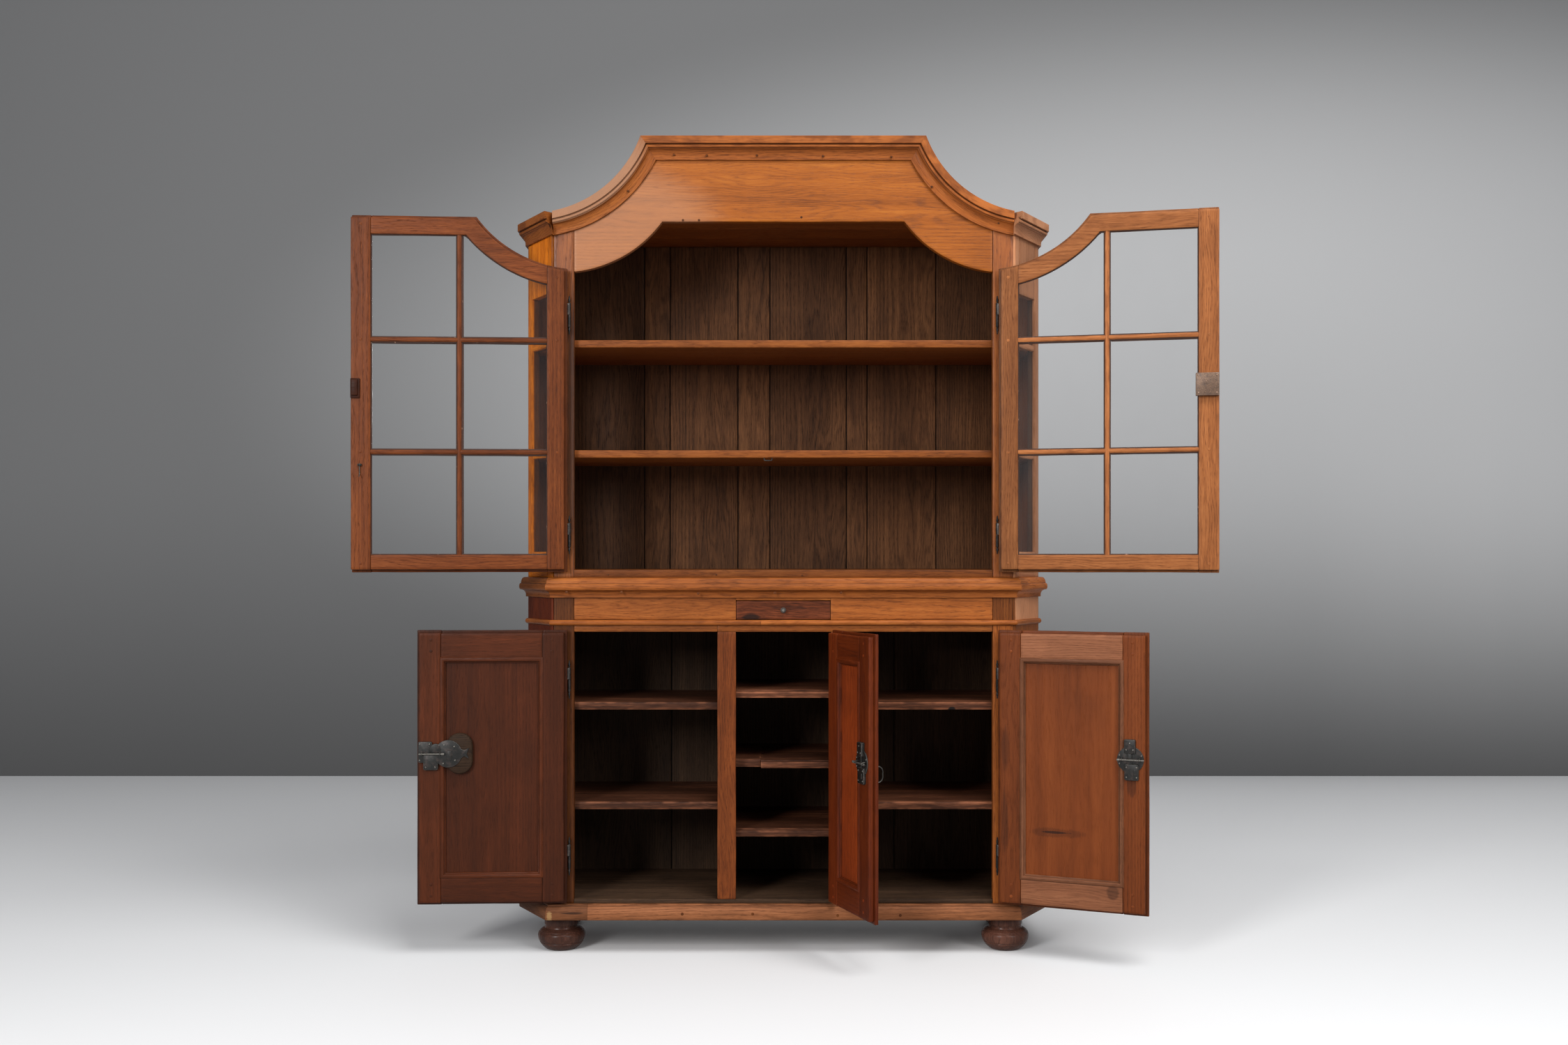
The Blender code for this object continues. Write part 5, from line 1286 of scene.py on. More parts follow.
# %% [markdown]
# A sweep turns through the same share of its arc at every point of the profile. A return starts at
# a cut beside the sweep, runs to its mitre at the side and on to the back. The left sweep carries a
# painted sheen: a wide pale patch in its finish stands for light shining on its polish.

# %% Cornice lengths
CORNICE_PAINTED_SHEEN = ((-0.50, FRONT - CORNICE_OUT, 1.87), (0.32, 0.4 * CORNICE_OUT, 0.25), 0.85)
CORNICE_OAK = oak("cornice oak", *HONEY_COLOURS, sheen=0.15, figure=1.35, blooms=[CORNICE_PAINTED_SHEEN])
RETURN_PROUD = 0.0015  # the canted lengths stand a little in front of the sweeps
profile_out, profile_up = CORNICE_PROFILE.T
centre = Shape()
turn_x = sweep_start(profile_up) - JOINT
cornice_skin(centre, np.linspace(-1.0, 1.0, 9)[:, None] * turn_x, profile_out,
             CORNICE_FLAT + profile_up, 1.0)
centre.make("cornice_middle", HONEY, "carcase", "honey_oak", "cornice_centre")
radius = CORNICE_RADIUS - profile_up
top_angle = np.arccos((CORNICE_CENTRE_Z - CORNICE_FLAT - profile_up) / radius)
end_angle = np.arcsin((CORNICE_CENTRE_X - FRONT_HALF) / radius)
angle = top_angle + np.linspace(0.0, 1.0, 40)[:, None] * (end_angle - top_angle)
along = np.maximum((profile_out * CANT_IN[1] - CORNICE_OUT - RETURN_PROUD) / CANT_ALONG[1],
                   (FRONT_HALF + JOINT - CORNER + profile_out * CANT_IN[0]) / CANT_ALONG[0])
front = np.array([CORNER, 0.0]) + along[:, None] * CANT_ALONG - profile_out[:, None] * CANT_IN
turn = math.tan((math.pi / 2 - math.atan2(CANT_DEPTH, BODY_HALF - CORNER)) / 2)
corner = np.stack([BODY_HALF + profile_out, CANT_DEPTH - profile_out * turn], axis=-1)
rear = np.stack([BODY_HALF + profile_out, np.full_like(profile_out, BACK)], axis=-1)
for side, sign in SIDES:
    sweep, returned = Shape(), Shape()
    cornice_skin(sweep, sign * (CORNICE_CENTRE_X - radius * np.sin(angle)), profile_out,
                 CORNICE_CENTRE_Z - radius * np.cos(angle), vary(0.78 if sign < 0 else 1.15))
    for start, stop in ((front, corner), (corner, rear)):
        grid = np.stack([start, stop])
        grid = np.concatenate([grid * [sign, 1.0], np.broadcast_to(
            (CORNICE_LOW + profile_up)[:, None], grid.shape[:2] + (1,))], axis=-1)
        figure = grid[..., [1, 2, 0]] + log_place()
        returned.skin(standing(grid), figure, profile_wear_and_shade(CORNICE_PROFILE),
                      vary(0.85 if sign < 0 else 0.72))
    sweep.make("cornice_sweep_" + side, CORNICE_OAK, "carcase", "honey_oak", "cornice_" + side)
    # painted sheen: the right return takes the pale oak
    returned.make("cornice_return_" + side, HONEY if sign < 0 else PAINTED_SHEEN_OAK, "carcase", "honey_oak")
print(f"cornice: flat middle {2 * float(turn_x.min()):.2f} m wide")

# %% [markdown]
# The drawer is a shallow tray behind a dark figured front with a small iron pin to pull it by.

# %% Drawer
DRAWER_STAIN = ((-0.082, FRONT, DRAWER_LOW + 0.006), (0.024, 0.02, 0.012), 0.85)
DRAWER_KNOT = ((0.012, FRONT, DRAWER_LOW + 0.030), (0.045, 0.02, 0.006), 0.45)
DRAWER_OAK = oak("drawer oak", srgb(124, 64, 37), srgb(96, 47, 25), srgb(54, 25, 13), 0.5, 0.004,
                 2.2, [DRAWER_STAIN, DRAWER_KNOT])

DRAWER_CLEAR = 0.0008
DRAWER_FACE = 0.0003  # the front stands this little behind the stiles
FRONT_BACK = 0.018  # depth of the front's inner face
TRAY_SIDE, TRAY_BOARD, TRAY_HEIGHT = 0.009, 0.008, 0.040
DRAWER_LOG = np.array([7.3, 0.004, 0.035])  # close to the heart, for a lively figure

drawer = Shape()
drawer_half = MIDDLE_HALF - DRAWER_CLEAR
drawer_low, drawer_top = DRAWER_LOW + DRAWER_CLEAR, DRAWER_HIGH - DRAWER_CLEAR
tray_back, tray_top = span("drawer", Y)[1] - FRONT, drawer_low + TRAY_HEIGHT
inner = drawer_half - TRAY_SIDE
board(drawer, (-drawer_half, drawer_half), (DRAWER_FACE, FRONT_BACK), (drawer_low, drawer_top), X,
      1.0, arris=0.0018, log=DRAWER_LOG)
for _, sign in SIDES:
    board(drawer, on_side(sign, inner, drawer_half - DRAWER_CLEAR), (FRONT_BACK, tray_back),
          (drawer_low, tray_top), Y, 0.8)
board(drawer, (-inner, inner), (tray_back - TRAY_BOARD, tray_back), (drawer_low, tray_top), X, 0.8)
board(drawer, (-inner, inner), (FRONT_BACK, tray_back - TRAY_BOARD),
      (drawer_low, drawer_low + TRAY_BOARD), Y, 0.8)
drawer.make("drawer_boards", DRAWER_OAK, "drawer", "red_oak", "drawer")
knob = Shape()
knob_profile = [(0.0012, 0.017), (0.0034, 0.0165), (0.0046, 0.0145), (0.0042, 0.012),
                (0.0022, 0.0095),
                (0.0022, 0.003), (0.0065, 0.0022), (0.007, 0.0008), (0.007, -0.001)]
turned(knob, knob_profile, (0.0, DRAWER_FACE, (drawer_low + drawer_top) / 2), (0.0, -1.0, 0.0), 16,
       worn=[1, 1, 0.9, 0.4, 0, 0, 0.4, 0.3, 0])
knob.make("drawer_pin", IRON, "drawer", "iron")
print("drawer with its pin")

# %% [markdown]
# Doors are drawn shut and then swung open. Each is a mortised frame whose outer layer laps over the
# carcase; stiles run the full height and rails sit between them. Panels are flat with a raised bead
# round them on the inside.

# %% Door helpers
DOOR_FRONT, DOOR_BACK = -0.010, 0.013  # outer and inner face of a shut door
LAP_BACK, BODY_FRONT = -0.001, -0.0012  # where a frame's outer layer stops and its inner one starts
CLEAR = 0.001
LAP_SHADE_TONE = 0.72  # painted shade: the lapping layer is darkened where the lip stands in shadow
EDGING = softened(np.array([(-0.009, -0.003), (0.0, -0.003), (0.0016, -0.0005), (0.0026, 0.002),
                            (0.0024, 0.0045), (0.0008, 0.007), (-0.0035, 0.0085), (-0.004, 0.0105),
                            (-0.009, 0.011)]), 0.0003)


def member(shape, outside, x, z, grain, place, tones, lap=(0, 0, 0, 0), edges=None, **sawn):
    """Door stile or rail in two layers; the outer one laps past the opening on the sides in lap.

    Edges is a function of how far a layer's edge is drawn in, and gives the two edge functions.
    """
    log = log_place()
    step = DOOR_LAP + CLEAR
    tone, outer_tone = tones
    board(outside, x, (DOOR_FRONT, LAP_BACK), z, grain, outer_tone, place=place, log=log,
          edges=edges and edges(0.0), **sawn)
    body_x = (x[0] + lap[0] * step, x[1] - lap[1] * step)
    body_z = (z[0] + lap[2] * step, z[1] - lap[3] * step)
    board(shape, body_x, (BODY_FRONT, DOOR_BACK), body_z, grain, tone, place=place, log=log,
          edges=edges and edges(step), **sawn)


def edged(shape, outline, profile, depth, facing, place, tone=1.0):
    """Mitred moulding round a closed outline of (x, z) points, facing out (-1) or in (1)."""
    outline = np.array(outline, float)
    _, before, after = turning(outline)
    inner = [np.stack([-run[:, 1], run[:, 0]], axis=-1) for run in (unit(before), unit(after))]
    mitre = (inner[0] + inner[1]) / (1.0 + (inner[0] * inner[1]).sum(axis=1))[:, None]
    count = len(outline)
    origins = np.stack([outline[:, 0], np.full(count, depth), outline[:, 1]], axis=-1)
    outs = np.tile([0.0, facing, 0.0], (count, 1))
    ups = np.stack([mitre[:, 0], np.zeros(count), mitre[:, 1]], axis=-1)
    carried(shape, profile, origins, outs, ups, tone, True, place)


def pegs(shape, places, depth, facing, place=standing, radius=0.0038, tone=1.15, proud=0.0006):
    """Low domes, the ends of the pegs that lock a joint."""
    profile = [(radius, -0.002), (radius, 0.0002), (0.85 * radius, 0.6 * proud),
               (0.45 * radius, proud), (0.0003, proud)]
    for x, z in places:
        turned(shape, profile, (x, depth, z), (0.0, facing, 0.0), 10, vary(tone, 0.15), place)


def peg_ends(name, finish, places, place):
    """Ends of a door's pegs, on its inner and its outer face."""
    heads = Shape()
    for depth, facing in ((DOOR_BACK, 1.0), (DOOR_FRONT, -1.0)):
        pegs(heads, places, depth, facing, place)
    heads.make(name + "_pegs", finish, name + "_door", "red_oak")


print(f"doors: {(DOOR_BACK - DOOR_FRONT) * 1000:.0f} mm thick, lapping {DOOR_LAP * 1000:.0f} mm")

# %% [markdown]
# A lower door has a flat panel in its frame. The photograph shows the insides, which differ board
# by board, so each board has its own tone; the outsides share one darker layer.

# %% Lower door
LOWER_STILE, LOWER_RAIL = 0.061, 0.070
PANEL_HALF, PANEL_TUCK = 0.004, 0.004  # half its thickness, and how far it runs into the frame
PEG_ROWS = (0.024, 0.052)  # two pegs lock each joint, so far from the door's end


def lower_door(name, opening, finishes, tones):
    """Two stiles and two rails round a flat panel with a bead, each kind in its own finish.

    Tones are those of the left stile, right stile, bottom rail, top rail, panel and bead, as the
    shut door shows them from inside, and that of its outside.
    """
    place = swung(name)
    left, right = opening[0] - DOOR_LAP, opening[1] + DOOR_LAP
    low, high = FLOOR_TOP - DOOR_LAP, LOWER_TOP + DOOR_LAP
    panel_x = (left + LOWER_STILE, right - LOWER_STILE)
    panel_z = (low + LOWER_RAIL, high - LOWER_RAIL)
    stiles, rails, panel, outside = (Shape() for _ in range(4))
    outer = tones[6]
    member(stiles, outside, (left, panel_x[0]), (low, high), Z, place, (tones[0], outer),
           (1, 0, 1, 1))
    member(stiles, outside, (panel_x[1], right), (low, high), Z, place, (tones[1], outer),
           (0, 1, 1, 1))
    member(rails, outside, panel_x, (low, panel_z[0]), X, place, (tones[2], outer), (0, 0, 1, 0))
    member(rails, outside, panel_x, (panel_z[1], high), X, place, (tones[3], outer), (0, 0, 0, 1))
    sunk_x, sunk_z = ((start - PANEL_TUCK, stop + PANEL_TUCK) for start, stop in (panel_x, panel_z))
    board(panel, sunk_x, (0.0, PANEL_HALF), sunk_z, Z, tones[4], place=place)
    board(outside, sunk_x, (-PANEL_HALF, 0.0), sunk_z, Z, outer, place=place)
    corners = [(panel_x[0], panel_z[0]), (panel_x[1], panel_z[0]), (panel_x[1], panel_z[1]),
               (panel_x[0], panel_z[1])]
    edged(rails, corners, EDGING, DOOR_BACK, 1.0, place, tones[5])
    edged(outside, corners, EDGING * [0.6, 0.8], DOOR_FRONT, -1.0, place, outer)
    outside.make(name + "_outside", finishes[0], name + "_door", "red_oak", name + "_door")
    for word, shape, finish in zip(("_stiles", "_rails", "_panel"), (stiles, rails, panel),
                                   finishes):
        shape.make(name + word, finish, name + "_door", "red_oak")
    rows = [low + step for step in PEG_ROWS] + [high - step for step in PEG_ROWS]
    columns = (left + 0.6 * LOWER_STILE, right - 0.6 * LOWER_STILE)
    peg_ends(name, finishes[0], [(x, z) for x in columns for z in rows], place)


print(f"lower doors: {(LOWER_TOP - FLOOR_TOP + 2 * DOOR_LAP) * 1000:.0f} mm high")

# %% [markdown]
# The right door is the most marked one, with a crack in its panel, streaks on a stile and a spot on
# a rail. Each stain is placed on the shut door and swung open with it.


# %% Three lower doors
def door_stain(x, z, radii, strength):
    """Stain on the inner face of the open right door, placed where it is on the shut one."""
    return swung("lower_right")(np.array([x, DOOR_BACK, z])), radii, strength


CRACK = door_stain(0.382, 0.319, (0.034, 0.05, 0.0035), 0.75)
SMUDGE = door_stain(0.385, 0.318, (0.075, 0.06, 0.012), 0.30)
STREAK_LOW = door_stain(0.512, 0.33, (0.010, 0.05, 0.110), 0.45)
STREAK_HIGH = door_stain(0.510, 0.52, (0.013, 0.05, 0.070), 0.40)
RAIL_SPOT = door_stain(0.245, 0.185, (0.014, 0.04, 0.020), 0.45)
LOCK_STAIN = door_stain(0.200, 0.445, (0.014, 0.04, 0.030), 0.45)
RIGHT_COLOURS = srgb(137, 72, 33), srgb(111, 54, 22), srgb(70, 33, 13)
RIGHT_STILES = oak("right door stiles", *RIGHT_COLOURS, figure=0.8,
                   stains=[STREAK_LOW, STREAK_HIGH, LOCK_STAIN])
# painted sheen: the right door's rails and bead are paler and less saturated than its stiles
RIGHT_RAILS = oak("right door rails", srgb(158, 103, 71), srgb(128, 79, 53), srgb(84, 49, 31),
                  figure=0.9, stains=[RAIL_SPOT])
RIGHT_PANEL = oak("right door panel", *RIGHT_COLOURS, figure=0.35, stains=[CRACK, SMUDGE],
                  rings_seen=0.03)
lower_door("lower_left", (-OPENING_HALF, -MUNTIN_OUT), (UMBER, UMBER, UMBER),
           (1.0, 1.5, 1.15, 1.4, 1.15, 1.6, 0.9))
lower_door("lower_middle", (-MIDDLE_HALF, MIDDLE_HALF), (CHERRY, CHERRY, CHERRY),
           (0.50, 0.70, 0.58, 0.60, 1.25, 0.62, 0.48))
lower_door("lower_right", (MUNTIN_OUT, OPENING_HALF), (RIGHT_STILES, RIGHT_RAILS, RIGHT_PANEL),
           (1.0, 0.85, 1.0, 1.15, 1.05, 0.66, 0.72))
print("lower doors: 3")

# %% [markdown]
# The panes of the glazed doors sit between thin rounded bars, held by putty that has gone brown and
# chalky. The upper panes end along the arch, so their upper edge and its putty follow the same
# line.

# %% Glazing
UPPER_STILE, UPPER_RAIL = 0.049, 0.044
WINDOW = DOOR_LAP - UPPER_STILE  # head of the window, as the arch line drawn in
BAR_NOSE = 0.0062  # half width of a bar's rounded front
PANE = (0.0034, 0.0060)  # depths of a pane's two faces
PANE_TUCK, PANE_ARRIS = 0.003, 0.0005
PUTTY_TUCK = 0.0012  # putty starts under the straying edge of the wood
PUTTY_LINE = np.array([(0.0, 0.0), (0.0026, 0.0003), (0.0021, 0.0018), (0.0006, 0.0034),
                       (0.0, 0.0036)])


def glazing(name, place, across, uprights, sill, high):
    """Panes and putty between the uprights and bars; the upper ones end along the arch."""
    near, middle, far = uprights
    panes, putty = Shape(), Shape()
    columns = ((near, middle - BAR_NOSE), (middle + BAR_NOSE, far))
    edges = [sill, *(height + step for height in BAR_HEIGHTS for step in (-BAR_NOSE, BAR_NOSE))]
    rows = list(zip(edges[::2], edges[1::2]))
    for start, stop in columns:
        pane_x = across(start - PANE_TUCK, stop + PANE_TUCK)
        x0, x1 = across(start - PUTTY_TUCK, stop + PUTTY_TUCK)
        for bottom, top in rows:
            board(panes, pane_x, PANE, (bottom - PANE_TUCK, top + PANE_TUCK), Z, arris=PANE_ARRIS,
                  place=place)
            z0, z1 = bottom - PUTTY_TUCK, top + PUTTY_TUCK
            edged(putty, [(x0, z0), (x1, z0), (x1, z1), (x0, z1)], PUTTY_LINE, PANE[1], 1.0, place)
        board(panes, pane_x, PANE, (edges[-1], high), Z, arris=PANE_ARRIS, place=place, sweep=X,
              steps=40,
              edges=(level_edge(edges[-1] - PANE_TUCK), lambda x: arch_line(x, WINDOW + PANE_TUCK)))
        x = np.linspace(x0, x1, 24)[::-1]
        outline = np.concatenate([[(x[-1], edges[-1] - PUTTY_TUCK), (x[0], edges[-1] - PUTTY_TUCK)],
                                  np.stack([x, arch_line(x, WINDOW + PUTTY_TUCK)], axis=-1)])
        edged(putty, outline, PUTTY_LINE, PANE[1], 1.0, place)
    panes.make(name + "_panes", GLASS, name + "_door", "glass", name + "_glass")
    putty.make(name + "_putty", PUTTY, name + "_door", "red_oak")


print(f"panes: {(PANE[1] - PANE[0]) * 1000:.1f} mm thick")

# %% [markdown]
# The frame of a glazed door has a shaped head: its top rail and hinge stile are cut to the arch. A
# bar has two layers, a flat back the full width and a narrower rounded front.

# %% Upper doors
MEETING = 0.001  # half the gap where the two doors meet
WEB, NOSE = (DOOR_FRONT, 0.0045), (0.0, 0.0115)  # depths of a bar's flat back and rounded front
WEB_TONE, NOSE_ROUND = 0.7, 0.0045
BAR_GAP = 0.0006  # level bars stop this far from the middle of the upright one
BAR_TUCK = 0.0055  # how far a bar's end runs into the wood it meets
PEG_LOW, PEG_HIGH, PEG_SPRING = 0.022, 0.024, 0.02  # how far pegs sit from the ends of the stiles


def upper_door(side, finish, tones):
    """Stiles, rails and bars of one glazed door, with its glazing and its pegs.

    Tones are those of the meeting stile, bottom rail, hinge stile, top rail and bars.
    """
    name = "upper_" + side
    sign = 1.0 if side == "right" else -1.0
    place = swung(name)

    def across(start, stop):
        return on_side(sign, start, stop)

    def part(x, z, grain, tone, *lap, **sawn):
        member(door, door, x, z, grain, place, (tone, tone * LAP_SHADE_TONE), *lap, **sawn)

    low, high = UPPER_BOTTOM - DOOR_LAP, ARCH_TOP + DOOR_LAP
    outer = OPENING_HALF + DOOR_LAP
    near, far = MEETING + UPPER_STILE, outer - UPPER_STILE
    sill = low + UPPER_RAIL
    hung = (0, 1, 1, 1) if sign > 0 else (1, 0, 1, 1)
    door = Shape()
    part(across(MEETING, near), (low, high), Z, tones[0], (0, 0, 1, 1))
    part(across(near, far), (low, sill), X, tones[1], (0, 0, 1, 0))
    part(across(far, outer), (low, high), Z, tones[2], hung, sweep=X, steps=12,
         edges=lambda step: (level_edge(low + step), lambda x: arch_line(x, DOOR_LAP - step)))
    part(across(near, far), (SPRING, high), X, tones[3], sweep=X, steps=70,
         breaks=(sign * arch_shoulder(DOOR_LAP), sign * arch_shoulder(WINDOW)),
         edges=lambda step: (lambda x: arch_line(x, WINDOW),
                             lambda x: arch_line(x, DOOR_LAP - step)))
    middle = (near + far) / 2
    head = float(arch_line(np.array([middle]), WINDOW)[0])
    board(door, across(middle - BAR / 2, middle + BAR / 2), WEB, (sill, head), Z, WEB_TONE,
          place=place)
    board(door, across(middle - BAR_NOSE, middle + BAR_NOSE), NOSE,
          (sill - BAR_TUCK, head + BAR_TUCK), Z, vary(tones[4]), NOSE_ROUND, place=place)
    for web, nose in (((near, middle - BAR / 2), (near - BAR_TUCK, middle - BAR_GAP)),
                      ((middle + BAR / 2, far), (middle + BAR_GAP, far + BAR_TUCK))):
        for height in BAR_HEIGHTS:
            board(door, across(*web), WEB, (height - BAR / 2, height + BAR / 2), X, WEB_TONE,
                  place=place)
            board(door, across(*nose), NOSE, (height - BAR_NOSE, height + BAR_NOSE), X,
                  vary(tones[4]), NOSE_ROUND, place=place)
    door.make(name + "_frame", finish, name + "_door", "red_oak", name + "_door")
    glazing(name, place, across, (near, middle, far), sill, high)
    columns = (MEETING + 0.5 * UPPER_STILE, outer - 0.5 * UPPER_STILE)
    spots = [(sign * x, z) for x in columns for z in (low + PEG_LOW, *BAR_HEIGHTS)]
    spots += [(sign * columns[0], high - PEG_HIGH), (sign * columns[1], SPRING - PEG_SPRING)]
    peg_ends(name, finish, spots, place)


upper_door("left", RUSSET, (1.1, 1.15, 1.05, 1.25, 1.0))
upper_door("right", TAN, (1.15, 1.12, 0.78, 1.0, 1.3))
print("upper doors: 2")

# %% [markdown]
# Each door hangs on two pin hinges: the lower knuckle belongs to the carcase with its pin and
# pointed ends, the upper knuckle to the door.

# %% Hinges
KNUCKLE, KNUCKLE_RADIUS, TIP = 0.030, 0.0038, 0.018
LEAF_HALF, LEAF_DEPTH = 0.001, 0.012  # the carcase's leaf stands on edge in its stile
DOOR_LEAF, DOOR_LEAF_DEPTHS = 0.009, (0.0004, 0.004)  # the door's leaf lies on its edge
LEAF_END = 0.001  # how much shorter a leaf is than its knuckle, at each end
TIP_START = 3  # the upper end of a pin has no knuckle, only what comes after its rim
EYE = np.array([(0.92 * KNUCKLE_RADIUS, 0.0003), (KNUCKLE_RADIUS, 0.001),
                (KNUCKLE_RADIUS, KNUCKLE - 0.001), (0.92 * KNUCKLE_RADIUS, KNUCKLE)])
EYE_WEAR = [0.3, 0.08, 0.08, 0.3]


def pin_profile():
    """Knuckle with a bead and a pointed end; heights run away from the joint."""
    knuckle = [(1.0, 0.0004 - KNUCKLE), (1.0, -0.001), (0.9, 0.0)]
    tip = [(0.55, 0.0006), (0.62, 0.003), (0.85, 0.006), (0.8, 0.009), (0.45, 0.0125), (0.5, 0.015),
           (0.3, TIP)]
    return np.array(knuckle + tip) * [KNUCKLE_RADIUS, 1.0] + [0.0, KNUCKLE]


for door in ("upper_left", "upper_right", "lower_left", "lower_middle", "lower_right"):
    pin_x, pin_y = JOINTS[door + "_door_hinge"]["pos_m"][:2]
    depth = pin_y - FRONT
    inward = -1.0 if pin_x > 0 else 1.0
    swing = swung(door)
    eyes = Shape()
    for word in ("bottom", "top"):
        node = f"{door}_hinge_{word}"
        joint_z = span(node, Z)[0] + TIP + KNUCKLE
        pin = Shape()
        for profile, up in ((pin_profile(), -1.0), (pin_profile()[TIP_START:], 1.0)):
            turned(pin, profile, (pin_x, depth, joint_z), (0.0, 0.0, up), 16,
                   worn=np.where(profile[:, 0] > 0.8 * KNUCKLE_RADIUS, 0.06, 0.0))
        board(pin, (pin_x - LEAF_HALF, pin_x + LEAF_HALF), (depth, LEAF_DEPTH),
              (joint_z - KNUCKLE + LEAF_END, joint_z - LEAF_END), Z, arris=0.0003)
        pin.make(node + "_pin", HINGE_IRON, "carcase", "iron", node)
        turned(eyes, EYE, (pin_x, depth, joint_z), (0.0, 0.0, 1.0), 16, place=swing, worn=EYE_WEAR)
        board(eyes, sorted((pin_x, pin_x + inward * DOOR_LEAF)),
              [depth + step for step in DOOR_LEAF_DEPTHS],
              (joint_z + LEAF_END, joint_z + KNUCKLE - LEAF_END), Z, arris=0.0005, place=swing)
    eyes.make(door + "_hinge_eyes", HINGE_IRON, door + "_door", "iron")
print("pin hinges: 10")

# %% [markdown]
# Three lower doors and the right glazed door have surface locks on the inside: thin iron plates
# with a raised spring box, a round bolt in staples and riveted corners. Each plate is an outline
# raised a little and bevelled, because a flat decal would lose its edge light.


# %% Lock helpers
LOCK_CENTRE = {door: sum(span(door + "_bolt", Z)) / 2
               for door in ("upper_right", "lower_left", "lower_middle", "lower_right")}
ROD_HEIGHT = 0.0112  # middle of a round bolt, above the door's inner face
STAPLE_WIDTH, STAPLE_HEIGHT, STAPLE_RADIUS = 0.0075, ROD_HEIGHT + 0.0028, 0.0011


def inner_face(door, edge_x, inward, z):
    """Places on a door's inner face: in from its free edge, up from a height, out of the face."""
    swing = swung(door)

    def place(points):
        x = edge_x + inward * points[..., 0]
        return swing(np.stack([x, DOOR_BACK + points[..., 2], z + points[..., 1]], axis=-1))

    return place


def rivets(shape, places, height, place, radius=0.0022):
    """Domed rivet heads that stand on a plate of the given height."""
    profile = [(radius, -0.002), (radius, 0.0003), (0.8 * radius, 0.001), (0.4 * radius, 0.0014),
               (0.0002, 0.0015)]
    for x, y in places:
        turned(shape, profile, (x, y, height), (0.0, 0.0, 1.0), 10, 1.0, place, [0, 0.6, 1, 1, 1])


def staple(shape, x, place):
    """Half hoop of wire over a bolt, its feet in the plate."""
    turn = np.linspace(0.0, math.pi, 9)
    path = np.stack([np.full_like(turn, x), STAPLE_WIDTH / 2 * np.cos(turn),
                     STAPLE_HEIGHT * np.sin(turn)],
                    axis=-1)
    wire(shape, path, STAPLE_RADIUS, (1.0, 0.0, 0.0), place=place, worn=0.7)


def bolt_rod(door, start, stop, place, radius=0.0021):
    """Round bolt with a turned collar at its inner end."""
    rod = Shape()
    length = stop - start
    nose = [(0.4 * radius, 0.0), (0.9 * radius, 0.0008), (radius, 0.002)]
    collar = [(radius, length - 0.008), (1.5 * radius, length - 0.0075),
              (1.6 * radius, length - 0.004),
              (1.2 * radius, length - 0.001), (0.4 * radius, length)]
    turned(rod, nose + collar, (start, 0.0, ROD_HEIGHT), (1.0, 0.0, 0.0), 14, 1.0, place,
           [1, 1, 0.8, 0.8, 1, 1, 1, 1])
    rod.make(door + "_bolt_rod", IRON, door + "_bolt", "iron", door + "_bolt")


def circle(centre, radius, count=36):
    """Outline of a disc."""
    return curve(centre, (radius, radius), 0, 360, count)[:-1]


print("lock heights:", {door: round(height, 3) for door, height in LOCK_CENTRE.items()})

# %% [markdown]
# The middle and right doors have the same lock: a disc with a spring box above the bolt, a key box
# below it and a bridge between them. One function draws it on either door.

# %% Round locks of the middle and right doors
ROUND_LOCK = 0.042  # its middle, in from the door's lapping edge
DISC, SPRING_BOX, KEY_BOX = 0.0026, 0.0085, 0.0068  # heights of its plates


def round_lock(door, edge_x, inward):
    """Plates, staples, rivets and bolt, with places given from the middle of the disc."""
    place = inner_face(door, edge_x, inward, LOCK_CENTRE[door])
    lock = Shape()

    def from_middle(*spots):
        return [(ROUND_LOCK + x, y) for x, y in spots]

    def box(width, height, radius, x, y):
        return rounded_box(width, height, radius, (ROUND_LOCK + x, y))

    plate(lock, circle((ROUND_LOCK, 0.0), 0.032), DISC, place)
    plate(lock, box(0.027, 0.034, 0.003, 0.001, 0.032), SPRING_BOX, place, 0.0016)
    plate(lock, box(0.034, 0.039, 0.004, -0.003, -0.030), KEY_BOX, place, 0.0014)
    plate(lock, box(0.012, 0.030, 0.003, 0.002, 0.0), 0.0056, place)
    plate(lock, box(0.0035, 0.014, 0.0016, -0.010, -0.030), 0.0078, place)
    for x in (-0.022, 0.020):
        staple(lock, ROUND_LOCK + x, place)
    rivets(lock, from_middle((0.001, 0.040), (-0.007, 0.024), (0.009, 0.024)), SPRING_BOX, place)
    rivets(lock, from_middle((-0.015, -0.018), (0.009, -0.018), (0.009, -0.042), (-0.015, -0.042)),
           KEY_BOX, place)
    rivets(lock, from_middle((-0.026, 0.010), (0.026, 0.010), (0.026, -0.010)), DISC, place)
    lock.make(door + "_lock", IRON, door + "_door", "iron")
    bolt_rod(door, 0.008, 0.074, place)


round_lock("lower_right", MUNTIN_OUT - DOOR_LAP, 1.0)
round_lock("lower_middle", -MIDDLE_HALF - DOOR_LAP, 1.0)
print("round locks: 2")

# %% [markdown]
# The left door's lock sits on a rounded block of wood. Its plate ends in a fish tail, which is an
# arc that stops short and runs on into five corners.

